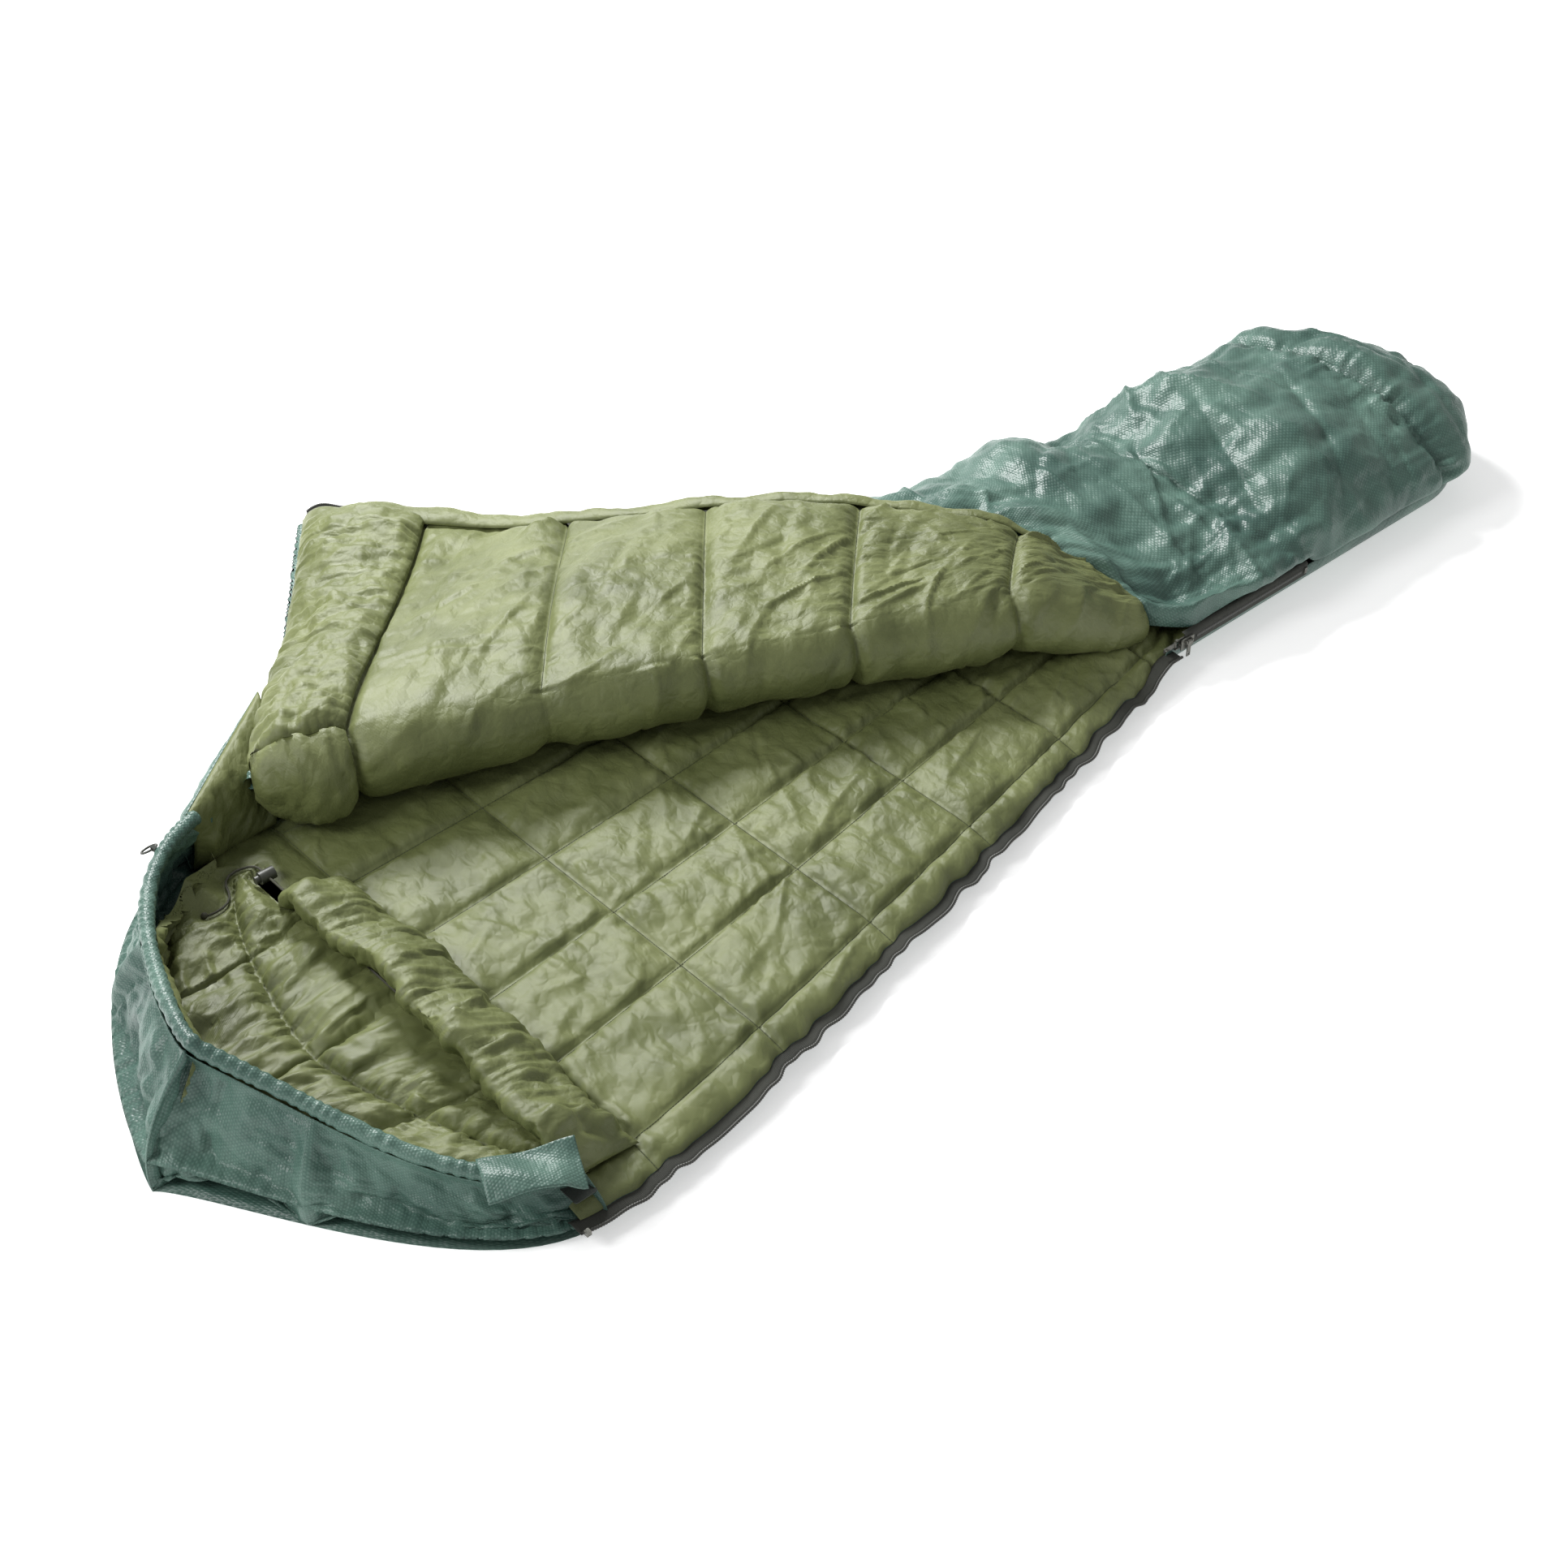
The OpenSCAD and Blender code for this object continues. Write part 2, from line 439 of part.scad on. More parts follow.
// The button slides along +x; its window lets the cord pass at rest and when it is pressed
module cord_lock_button() color(dark) place() translate(lock_at) difference() {
    translate([-barrel_l / 2 - 6, 0, 0]) rotate([0, 90, 0]) cylinder(r = button_r, h = barrel_l - 1);
    for (dx = [0, -button_travel]) translate([dx, 0, 0]) rotate([90, 0, 0])
        cylinder(r = cord_hole_r, h = 20, center = true);
    translate([-button_travel, -10, -cord_hole_r]) cube([button_travel, 20, 2 * cord_hole_r]);
}
module cord_lock_spring() color("silver") place()
    translate(lock_at + [barrel_l / 2 - 6.8, 0, 0]) rotate([0, 90, 0]) difference() {
        cylinder(r = 3.2, h = 4.6);
        translate([0, 0, -1]) cylinder(r = 2.4, h = 7);
    }

// ---- closure tab at the neck ----
module at_tab() { translate([tab_from.x, tab_from.y, tab_z]) rotate(tab_turn) children(); }
module rounded_plate(l, w, t, r) {
    linear_extrude(t) polygon([for (c = [[l - r, w / 2 - r, 0], [r, w / 2 - r, 90], [r, r - w / 2, 180],
        [l - r, r - w / 2, 270]]) for (a = steps(0, 90, 5)) [c.x + r * cos(c.z + a), c.y + r * sin(c.z + a)]]);
}
module closure_tab() color(teal) place() at_tab() rounded_plate(tab_l, tab_w, 3, 4);
module closure_tab_hooks() color(dark) place() at_tab()
    translate([tab_l - 60, 0, -1.5 - gap]) rounded_plate(55, 44, 1.5, 3);
module closure_loop_patch() color(dark) place()
    translate([300, -324, quilt_t + gap]) rounded_plate(29, 44, 1.5, 3);

back_shell();
back_fill();
back_lining();
hood_base_shell();
hood_base_fill();
hood_base_lining();
hood_side_near_shell();
hood_side_far_shell();
hood_near_fill();
hood_far_fill();
hood_side_lining();
hood_hem();
hood_drawcord();
hood_gusset();
hood_ring_tab();
hood_ring();
leg_shell();
thigh_fill();
shin_fill();
leg_lining();
foot_end_shell();
foot_end_fill();
foot_end_lining();
fold_fill();
fold_lining();
flap_shell();
flap_fill();
flap_lining();
flap_hem();
flap_neck_baffle();
flap_draft_tube();
flap_zip_tape();
flap_zip_coil();
flap_zip_stop();
back_zip_tape();
back_zip_coil();
back_zip_stop();
closed_zip_tape();
closed_zip_coils();
zip_end_stop();
zip_slider();
outer_pull();
inner_pull();
neck_baffle_cover();
neck_baffle_fill();
neck_drawcord();
neck_cord_tail();
neck_cord_knot();
cord_lock_barrel();
cord_lock_spring();
cord_lock_button();
closure_tab();
closure_tab_hooks();
closure_loop_patch();
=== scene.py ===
"""The looks of an opened mummy sleeping bag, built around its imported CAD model.

Points are worked out in the bag's own frame, in metres: x runs from the hood's crown to the foot, y is 0 on
the hood's axis with the zip on the -y side, and z is up. put() moves them into the row frame.
"""
import math

import bpy
import numpy as np
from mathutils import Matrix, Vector
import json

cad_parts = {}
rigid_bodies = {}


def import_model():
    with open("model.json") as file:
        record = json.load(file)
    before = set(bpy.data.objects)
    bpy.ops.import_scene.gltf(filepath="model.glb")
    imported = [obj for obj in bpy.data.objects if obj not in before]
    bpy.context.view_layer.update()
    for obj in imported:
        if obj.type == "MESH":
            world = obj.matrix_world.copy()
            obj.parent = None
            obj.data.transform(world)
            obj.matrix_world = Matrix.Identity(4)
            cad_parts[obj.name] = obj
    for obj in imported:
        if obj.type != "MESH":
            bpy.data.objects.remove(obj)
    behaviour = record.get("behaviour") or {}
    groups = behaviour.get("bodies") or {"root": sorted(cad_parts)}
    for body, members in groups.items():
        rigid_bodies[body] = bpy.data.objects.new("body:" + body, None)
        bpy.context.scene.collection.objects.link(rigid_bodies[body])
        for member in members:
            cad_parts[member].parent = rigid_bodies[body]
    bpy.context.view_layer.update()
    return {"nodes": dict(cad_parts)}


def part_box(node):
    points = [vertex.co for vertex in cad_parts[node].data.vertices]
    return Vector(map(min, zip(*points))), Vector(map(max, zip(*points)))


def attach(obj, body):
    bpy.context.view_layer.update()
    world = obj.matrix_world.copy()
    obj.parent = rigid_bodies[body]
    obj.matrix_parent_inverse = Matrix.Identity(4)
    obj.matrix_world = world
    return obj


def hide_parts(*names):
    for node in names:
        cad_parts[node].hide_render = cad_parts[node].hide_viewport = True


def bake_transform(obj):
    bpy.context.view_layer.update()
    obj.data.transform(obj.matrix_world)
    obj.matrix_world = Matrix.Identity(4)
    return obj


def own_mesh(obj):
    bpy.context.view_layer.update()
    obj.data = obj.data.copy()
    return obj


for old in list(bpy.data.objects):
    bpy.data.objects.remove(old)
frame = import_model()
scene = bpy.context.scene
scene.view_settings.view_transform = "Standard"
nodes = frame["nodes"]
CROWN_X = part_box("hood_base_shell")[0].x  # the row frame's x at the hood's crown

# ---- driving sizes, in metres ----
HOOD_L, CAP_X, BAG_L = 0.33, 2.13, 2.279  # x at the neck, at the foot's end panel and at the foot
NEAR_NECK, FAR_NECK = -0.355, 0.415  # y of the zip side and of the far side at the neck
NEAR_FOOT, FAR_FOOT = -0.119, 0.299  # the same at the foot
TAPER_FROM, TAPER_TO = 0.400, 1.495  # the zip side narrows between these
FOLD_HEAD, FOLD_FOOT = np.array([0.390, 0.400]), np.array([1.515, -0.062])
FOLD_Z = 0.1078  # height of the fold's axis
FOLD_R = 0.042  # radius of the folded edge
UPPER_Z = 0.105  # top of the upper quilt where it lies flat
SEAM_Z = 0.033  # height of the back quilt's sewn lines
ZIP_X = (0.290, 1.486)  # the open zip's ends
CLOSED_ZIP = (1.551, 1.800, -0.125, 0.046)  # the closed zip's ends, y and z
TAPE_W, COIL_R = 0.016, 0.0026  # width of a zip tape and radius of its coil
RIM_H = (0.165, 0.056, 0.118)  # the rim's height at the crown, near neck and far neck
HEM_R = 0.009  # radius of the hood's hem
FAR_SLOPE = 0.110  # the upper quilt slopes down over this width at the far side
FLAP_REACH = 0.380  # the flap comes down to the ground this far past the far edge
CELL = 0.012  # coarse cell of the cloth grids
FLOOR_GAP = 0.0015  # the lowest a cloth surface may lie
CAMERA_LENS = 52.17  # mm on a 36 mm sensor
CAMERA_DOWN = 39.0  # degrees below the horizon
CAMERA_TURN = 42.3  # degrees from the row frame's +Y towards +X
CAMERA_AT = (-0.581, -1.632, 1.85)  # from the hood's crown
QUILT_X = 0.215  # distance between the cross seams
FIRST_QUILT_X = 0.400  # the first of them


# ---- shapes of the outline ----
def clamp(t):
    return np.clip(t, 0.0, 1.0)


def smooth(t):
    c = clamp(t)
    return c * c * (3 - 2 * c)


def lerp(a, b, t):
    return a + (b - a) * t


def hood_share(x, power):
    """The outline's share of its full width in the hood, where a power of 1 gives an ellipse."""
    return (1 - (1 - clamp(x / HOOD_L)) ** 2) ** (power / 2)


def near_y(x):
    taper = clamp((x - TAPER_FROM) / (TAPER_TO - TAPER_FROM)) ** 1.12
    return np.where(x < HOOD_L, NEAR_NECK * hood_share(x, 2.5), lerp(NEAR_NECK, NEAR_FOOT, taper))


def far_y(x):
    taper = smooth((x - 1.0) / 1.15)
    return np.where(x < HOOD_L, FAR_NECK * hood_share(x, 1.6), lerp(FAR_NECK, FAR_FOOT, taper))


FOLD_DIR = (FOLD_FOOT - FOLD_HEAD) / np.linalg.norm(FOLD_FOOT - FOLD_HEAD)
FOLD_OUT = np.array([-FOLD_DIR[1], FOLD_DIR[0]])


def fold_y(x):
    return lerp(FOLD_HEAD[1], FOLD_FOOT[1], (x - FOLD_HEAD[0]) / (FOLD_FOOT[0] - FOLD_HEAD[0]))


def stations(u):
    """x and the end panel's share of full width, for a distance u along the bag that wraps over the foot."""
    angle = clamp((u - CAP_X) / (BAG_L - CAP_X) / (math.pi / 2)) * math.pi / 2
    return np.where(u < CAP_X, u, CAP_X + (BAG_L - CAP_X) * np.sin(angle)), np.cos(angle)


FOOT_U = CAP_X + (BAG_L - CAP_X) * math.pi / 2


def edge_wave(x):
    """Sideways and upward wave of the puckered zip edge."""
    side = 0.003 * np.sin(52 * x + 2.5 * np.sin(19 * x)) + 0.0015 * np.sin(113 * x + 3 * np.sin(31 * x))
    rise = 0.003 * np.sin(43 * x + 1.3 + 2 * np.sin(17 * x))
    ends = smooth((x - 0.32) / 0.1) * smooth((1.48 - x) / 0.08)
    return side * ends, rise * ends


# ---- a small cloth solver on a grid ----
def stack(x, y, z):
    return np.stack(np.broadcast_arrays(x, y, z), axis=-1).astype(float)


def ripple(n, m, step_u, step_v, rng):
    """Smooth random heights on an n by m grid, with bumps step_u by step_v cells wide."""
    grid = rng.standard_normal((int(n / step_u) + 3, int(m / step_v) + 3))
    i, j = np.arange(n) / step_u, np.arange(m) / step_v
    i0, j0 = i.astype(int), j.astype(int)
    a, b = smooth(i - i0)[:, None], smooth(j - j0)[None, :]
    low = grid[i0][:, j0] * (1 - b) + grid[i0][:, j0 + 1] * b
    high = grid[i0 + 1][:, j0] * (1 - b) + grid[i0 + 1][:, j0 + 1] * b
    return low * (1 - a) + high * a


def normals(points, flip=1):
    along = np.gradient(points, axis=0)
    across = np.gradient(points, axis=1)
    n = np.cross(along, across) * flip
    return n / np.maximum(np.linalg.norm(n, axis=-1, keepdims=True), 1e-9)


def finer(a):
    """The same field on a grid of half the cell size."""
    n, m = a.shape[:2]
    rows = np.empty((2 * n - 1, m) + a.shape[2:])
    rows[::2] = a
    rows[1::2] = (a[:-1] + a[1:]) / 2
    out = np.empty((2 * n - 1, 2 * m - 1) + a.shape[2:])
    out[:, ::2] = rows
    out[:, 1::2] = (rows[:, :-1] + rows[:, 1:]) / 2
    return out


def metres(grid):
    """The sheet's own flat coordinates, for weaves: mean lengths along and across."""
    along = np.linalg.norm(np.diff(grid, axis=0), axis=-1).mean(1)
    across = np.linalg.norm(np.diff(grid, axis=1), axis=-1).mean(0)
    u = np.concatenate([[0], np.cumsum(along)])
    v = np.concatenate([[0], np.cumsum(across)])
    return np.stack(np.meshgrid(u, v, indexing="ij"), axis=-1)


def creases(points, rng, count, angle, spread, length, width, height):
    """Heights of random sharp creases on a grid, mostly at an angle in degrees from the grid's rows."""
    flat = metres(points)
    span = flat[-1, -1]
    out = np.zeros(points.shape[:2])
    for _ in range(count):
        centre = rng.random(2) * span
        turn = math.radians(angle + spread * rng.standard_normal())
        half = length * (0.4 + 0.8 * rng.random()) / 2
        wide = width * (0.6 + 0.8 * rng.random())
        tall = height * (0.3 + 0.9 * rng.random()) * (1 if rng.random() < 0.65 else -0.7)
        bend = rng.standard_normal() * 0.8
        d = flat - centre
        along = (d[..., 0] * math.cos(turn) + d[..., 1] * math.sin(turn)) / half
        side = (d[..., 1] * math.cos(turn) - d[..., 0] * math.sin(turn)) / wide - bend * along ** 2
        near = (np.abs(along) < 1) & (side > -5) & (side < 7)
        fade = (1 - along[near] ** 2) ** 1.5
        out[near] += tall * fade * np.exp(-np.where(side[near] > 0, side[near] * 0.7, -side[near] * 1.6))
    return out


def crumple(points, rng, along, across, height):
    """Puffed facets about along by across metres in size, with sharp creases between them."""
    place = metres(points) / np.array([along, across])
    home = np.floor(place).astype(int)
    count = home.reshape(-1, 2).max(0) + 5
    spot = rng.random((*count, 2))
    turn = rng.random(tuple(count)) * math.pi
    nearest = np.full(points.shape[:2], 1e3)
    for i in range(5):
        for j in range(5):
            a, b = home[..., 0] + i, home[..., 1] + j
            d = place - spot[a, b] - np.stack([a - 2, b - 2], axis=-1)
            c, s = np.cos(turn[a, b]), np.sin(turn[a, b])
            long, wide = d[..., 0] * c + d[..., 1] * s, d[..., 1] * c - d[..., 0] * s
            nearest = np.minimum(nearest, np.sqrt(0.35 * long ** 2 + 1.7 * wide ** 2 + 0.02))
    return height * (1.2 - 2 * nearest)


LINK_PULL = 0.22  # share of a link's error that each of its ends gives back in one round
WADDING_LIFT, SINK_LIFT = 0.012, 0.3  # how fast the wadding lifts cloth, and cloth that has sunk into it
QUICK_ROUNDS = 8
DEEPEST = -0.006  # creases go no deeper than this under the settled cloth
EDGE_CELLS = 6  # creases fade over this many cells at a sheet's edges


def settle(base, out, held, loft, slack, rounds, move, stiff, reach):
    """Spare cloth over wadding: each link keeps its cut length, the wadding lifts, the seams hold."""
    n, m = base.shape[:2]
    links = []
    gathered = 0.45 + 1.1 * np.exp(-2.2 * clamp(reach))
    for di, dj, weight in ((1, 0, 1.0), (0, 1, 1.0), (1, 1, 0.5), (1, -1, 0.5)):
        a = (slice(0, n - di), slice(max(0, -dj), m - max(0, dj)))
        b = (slice(di, n), slice(max(0, dj), m - max(0, -dj)))
        spare = (slack[0] * di + slack[1] * abs(dj)) / (di + abs(dj)) * gathered
        rest = np.linalg.norm(base[b] - base[a], axis=-1) * (1 + spare[a])
        links.append((a, b, rest, LINK_PULL * weight))
    pos = base + move
    pos[held] = base[held]
    for _ in range(rounds):
        push = np.zeros_like(pos)
        for a, b, rest, weight in links:
            gap = pos[b] - pos[a]
            length = np.sqrt(np.einsum("ijk,ijk->ij", gap, gap)) + 1e-9
            gap *= (weight * (1 - rest / length))[..., None]
            push[a] += gap
            push[b] -= gap
        pos += push
        move = pos - base
        height = np.einsum("ijk,ijk->ij", move, out)
        lift = np.where(height < -0.3 * loft, SINK_LIFT, WADDING_LIFT) * (loft - height)
        lift += 0.2 * np.minimum(1.7 * loft + 0.004 - height, 0)
        move += out * lift[..., None]
        mean = (move[2:, 1:-1] + move[:-2, 1:-1] + move[1:-1, 2:] + move[1:-1, :-2]) / 4
        move[1:-1, 1:-1] += stiff * (mean - move[1:-1, 1:-1])
        pos = base + move
        pos[held] = base[held]
    return pos - base


def cloth(surface, size, seams, loft, slack, seed, flip=1, grain=(5, 5), noise=0.003, folds=(), pucker=0.002,
          facets=((0.07, 0.05, 0.0022), (0.03, 0.02, 0.0012)), rounds=(90, 70)):
    """A wrinkled sheet. surface gives base points for shares u, v of the grid; seams says what is held."""
    rng = np.random.default_rng(seed)
    n, m = size
    move = None
    for level in range(2):
        u, v = np.meshgrid(np.linspace(0, 1, n), np.linspace(0, 1, m), indexing="ij")
        base = surface(u, v)
        out = normals(base, flip)
        held, away = seams(u, v, 0.5 / (n - 1), 0.5 / (m - 1))
        reach = away.min(0)
        held[0] = held[-1] = True
        held[:, 0] = held[:, -1] = True
        height = (loft(u, v) if callable(loft) else loft) * np.sqrt(1 - (1 - clamp(reach)) ** 2)
        bump = ripple(n, m, grain[0], grain[1], rng) * noise
        if level == 0:
            fresh = out * (bump + height)[..., None]
        else:
            for fold in folds:
                bump = bump + creases(base, rng, *fold)
            fresh = out * (bump * clamp(reach * 3))[..., None]
        move = fresh if move is None else finer(move) + fresh
        spare = [s(u, v) if callable(s) else s for s in slack]
        stiff = (0.03, 0.016)[level]
        count = QUICK_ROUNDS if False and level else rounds[level]
        move = settle(base, out, held, height, spare, count, move, stiff, reach)
        if level == 0:
            n, m = 2 * n - 1, 2 * m - 1
    tucks = np.exp(-3 * away[0]) * ripple(n, m, 8, 2.6, rng)
    tucks = tucks + np.exp(-3 * away[1]) * ripple(n, m, 2.6, 8, rng)
    bump = pucker * tucks
    for fold in folds:
        bump += 0.8 * creases(base, rng, *fold)
    for facet in facets:
        bump += crumple(base, rng, *facet)
    edge = np.minimum(np.minimum(u, 1 - u) * n, np.minimum(v, 1 - v) * m) / EDGE_CELLS
    bump = np.maximum(bump, DEEPEST) * clamp(reach * 4) * smooth(edge)
    bump[held] = 0
    return base + move + out * bump[..., None]


def lines(u, v, eu, ev, us=(), vs=(), reach=0.05, length=(1.0, 1.0)):
    """Seams along lines of equal u or v, held, and the distances to both kinds as shares of reach."""
    held = np.zeros(u.shape, bool)
    away = np.full((2,) + u.shape, 1e3)
    for place in us:
        held |= np.abs(u - place) <= eu
        away[0] = np.minimum(away[0], np.abs(u - place) * length[0])
    for place in vs:
        held |= np.abs(v - place) <= ev
        away[1] = np.minimum(away[1], np.abs(v - place) * length[1])
    return held, away / reach


def seams_at(us, vs, reach, length):
    return lambda u, v, eu, ev: lines(u, v, eu, ev, us, vs, reach, length)


# ---- meshes ----
def add(name, data):
    made = bpy.data.objects.new(name, data)
    scene.collection.objects.link(made)
    return made


def put(name, grid, kind, body, replaces=(), thick=0.0012, flip=False, closed=False):
    """A mesh piece from a grid of points in the bag's frame. closed joins the last column to the first."""
    material, slot = kind
    n, m = grid.shape[:2]
    points = grid.reshape(-1, 3) + np.array([CROWN_X, 0, 0])
    points[:, 2] = np.maximum(points[:, 2], FLOOR_GAP)
    cols = m if closed else m - 1
    i, j = np.meshgrid(np.arange(n - 1), np.arange(cols), indexing="ij")
    k = (j + 1) % m
    quads = np.stack([i * m + j, (i + 1) * m + j, (i + 1) * m + k, i * m + k], axis=-1).reshape(-1, 4)
    if flip:
        quads = quads[:, ::-1]
    mesh = bpy.data.meshes.new(name)
    mesh.from_pydata(points.tolist(), [], quads.tolist())
    mesh.shade_smooth()
    flat = metres(grid).reshape(-1, 2)
    uv = mesh.uv_layers.new(name="Cloth")
    order = np.zeros(len(mesh.loops), np.int32)
    mesh.loops.foreach_get("vertex_index", order)
    uv.data.foreach_set("uv", flat[order].astype(np.float32).ravel())
    piece = add(name, mesh)
    piece.data.materials.append(material)
    if thick:
        solid = piece.modifiers.new("thickness", "SOLIDIFY")
        solid.thickness = thick
        solid.offset = -1
    if body:
        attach(piece, body)
    if replaces:
        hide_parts(*replaces)
    return piece


def tube(path, radius, sides=10, squash=1.0):
    """A round tube's grid of points along a path of points. radius is one number or one for each ring."""
    path = np.asarray(path, float)
    along = np.gradient(path, axis=0)
    along /= np.linalg.norm(along, axis=1, keepdims=True)
    side = np.cross(along, [0, 0, 1.0])
    side /= np.maximum(np.linalg.norm(side, axis=1, keepdims=True), 1e-9)
    up = np.cross(side, along)
    turn = np.linspace(0, 2 * math.pi, sides, endpoint=False)
    r = np.broadcast_to(np.asarray(radius, float), (len(path),))[:, None, None]
    ring = np.cos(turn)[None, :, None] * side[:, None] + squash * np.sin(turn)[None, :, None] * up[:, None]
    return path[:, None] + r * ring


def stitches(name, paths, body, pitch=0.0042, length=0.0030, radius=0.0005):
    """Lines of thread: one small bar for each stitch along every path. The thread is coloured darker than the
    lining to paint the shade in the seams' grooves.
    """
    rows = []
    for path in paths:
        path = resample(path, pitch / 4)
        for k in range(0, len(path) - 4, 4):
            a, b = path[k], path[k] + (path[k + 3] - path[k]) * (length / (0.75 * pitch))
            side = np.cross(b - a, [0, 0, 1.0])
            side *= radius / max(np.linalg.norm(side), 1e-9)
            up = np.array([0, 0, radius])
            rows.append([a + side, a + up, a - side, a - up, b + side, b + up, b - side, b - up])
    count = len(rows)
    points = np.array(rows).reshape(-1, 3) + np.array([CROWN_X, 0, 0])
    bar = [(0, 1, 5, 4), (1, 2, 6, 5), (2, 3, 7, 6), (3, 0, 4, 7), (3, 2, 1, 0), (4, 5, 6, 7)]
    faces = [tuple(8 * k + c for c in face) for k in range(count) for face in bar]
    mesh = bpy.data.meshes.new(name)
    mesh.from_pydata(points.tolist(), [], faces)
    piece = add(name, mesh)
    mesh.materials.append(THREAD_AND_SEAM_SHADE)
    if body:
        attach(piece, body)
    return piece


def seam_rows(grid, shares, start=0, end=None):
    """The rows of a cloth's grid that lie nearest to shares of its first direction, lifted a little."""
    n = len(grid) - 1
    return [grid[round(share * n), start:end] + np.array([0, 0, 0.0006]) for share in shares]


def seam_columns(grid, shares, start=0, end=None):
    return seam_rows(grid.transpose(1, 0, 2), shares, start, end)


def resample(path, step):
    path = np.asarray(path, float)
    s = np.concatenate([[0], np.cumsum(np.linalg.norm(np.diff(path, axis=0), axis=1))])
    t = np.linspace(0, s[-1], max(int(s[-1] / step), 3))
    return np.stack([np.interp(t, s, path[:, k]) for k in range(3)], axis=1)


# ---- materials ----
class Shader:
    """A Principled material with helpers to add nodes."""

    def __init__(self, name, roughness, sheen=0.0, metallic=0.0, specular=0.5):
        self.material = bpy.data.materials.new(name)
        self.material.use_nodes = True
        self.tree = self.material.node_tree
        self.bsdf = self.tree.nodes["Principled BSDF"]
        self.bsdf.inputs["Roughness"].default_value = roughness
        self.bsdf.inputs["Metallic"].default_value = metallic
        self.bsdf.inputs["Sheen Weight"].default_value = sheen
        self.bsdf.inputs["Specular IOR Level"].default_value = specular

    def node(self, kind, inputs=None, **settings):
        made = self.tree.nodes.new(kind)
        for key, value in settings.items():
            setattr(made, key, value)
        for key, value in (inputs or {}).items():
            if isinstance(value, bpy.types.NodeSocket):
                self.tree.links.new(value, made.inputs[key])
            else:
                made.inputs[key].default_value = value
        return made

    def math(self, operation, a, b=0.0):
        return self.node("ShaderNodeMath", {0: a, 1: b}, operation=operation).outputs[0]

    def vector(self, operation, a, b, output=0):
        return self.node("ShaderNodeVectorMath", {0: a, 1: b}, operation=operation).outputs[output]

    def noise(self, where, scale, output, **more):
        return self.node("ShaderNodeTexNoise", {"Vector": where, "Scale": scale, **more}).outputs[output]

    def cloth_coordinates(self):
        return self.node("ShaderNodeUVMap", uv_map="Cloth").outputs[0]

    def link(self, out, socket):
        self.tree.links.new(out, self.bsdf.inputs[socket])

    def colours(self, factor, stops):
        ramp = self.node("ShaderNodeValToRGB", {0: factor})
        ramp.color_ramp.elements[0].position = stops[0][0]
        ramp.color_ramp.elements[0].color = (*stops[0][1], 1)
        ramp.color_ramp.elements[1].position = stops[-1][0]
        ramp.color_ramp.elements[1].color = (*stops[-1][1], 1)
        for place, colour in stops[1:-1]:
            ramp.color_ramp.elements.new(place).color = (*colour, 1)
        return ramp.outputs[0]


def mottled(s, scale):
    where = s.node("ShaderNodeTexCoord").outputs["Object"]
    return s.noise(where, scale, "Fac", Detail=4.0, Roughness=0.6)


def weave_height(s, pitch, hexagonal):
    """A woven relief: crossed waves, three for a honeycomb and two for a plain weave."""
    where = s.cloth_coordinates()
    angles = (0, 60, 120) if hexagonal else (0, 90)
    total = None
    for angle in angles:
        a = math.radians(angle)
        k = 2 * math.pi / pitch
        direction = (k * math.cos(a), k * math.sin(a), 0)
        wave = s.math("COSINE", s.vector("DOT_PRODUCT", where, direction, "Value"))
        total = wave if total is None else s.math("ADD", total, wave)
    return s.math("MULTIPLY", total, 1 / len(angles))


def fine_creases(s):
    """The height of small puffed cells with bent, sharp borders, at two sizes."""
    where = s.cloth_coordinates()
    total = None
    for scale, share in ((24.0, 1.0), (61.0, 0.5)):
        bend = s.noise(where, scale * 0.8, "Color", Detail=3.0)
        bent = s.vector("ADD", where, s.vector("MULTIPLY", bend, (1.1 / scale,) * 3))
        cells = s.node("ShaderNodeTexVoronoi", {"Vector": bent, "Scale": scale}, feature="DISTANCE_TO_EDGE")
        part = s.math("MULTIPLY", s.math("MINIMUM", cells.outputs["Distance"], 0.35), share)
        total = part if total is None else s.math("ADD", total, part)
    return total


def fabric(name, dark, mid, light, pitch, hexagonal, roughness, sheen, weave, crease):
    s = Shader(name, roughness, sheen, specular=0.42)
    s.bsdf.inputs["Sheen Roughness"].default_value = 0.45
    s.bsdf.inputs["Sheen Tint"].default_value = (*light, 1)
    cloudy = mottled(s, 9.0)
    relief = weave_height(s, pitch, hexagonal)
    woven = s.math("MULTIPLY", relief, 0.10 if hexagonal else 0.05)
    tone = s.math("ADD", s.math("MULTIPLY", cloudy, 0.75), woven)
    s.link(s.colours(tone, [(0.18, dark), (0.40, mid), (0.66, light)]), "Base Color")
    fold = fine_creases(s)
    rough = s.math("ADD", s.math("MULTIPLY", cloudy, 0.14), roughness - 0.07)
    s.link(rough, "Roughness")
    fine = s.node("ShaderNodeBump", {"Strength": weave, "Distance": 0.0006, "Height": relief})
    coarse = s.node("ShaderNodeBump", {"Strength": crease, "Distance": 0.010, "Height": fold,
                                       "Normal": fine.outputs[0]})
    s.link(coarse.outputs[0], "Normal")
    return s.material


def plain(name, colour, roughness, metallic=0.0, grain=140.0, depth=0.15, spread=0.25):
    s = Shader(name, roughness, metallic=metallic)
    spots = mottled(s, grain)
    low = tuple(c * (1 - spread) for c in colour)
    high = tuple(min(1, c * (1 + spread)) for c in colour)
    s.link(s.colours(spots, [(0.3, low), (0.7, high)]), "Base Color")
    s.link(s.math("ADD", s.math("MULTIPLY", spots, 0.2), roughness - 0.1), "Roughness")
    bump = s.node("ShaderNodeBump", {"Strength": depth, "Distance": 0.0004, "Height": spots})
    s.link(bump.outputs[0], "Normal")
    return s.material


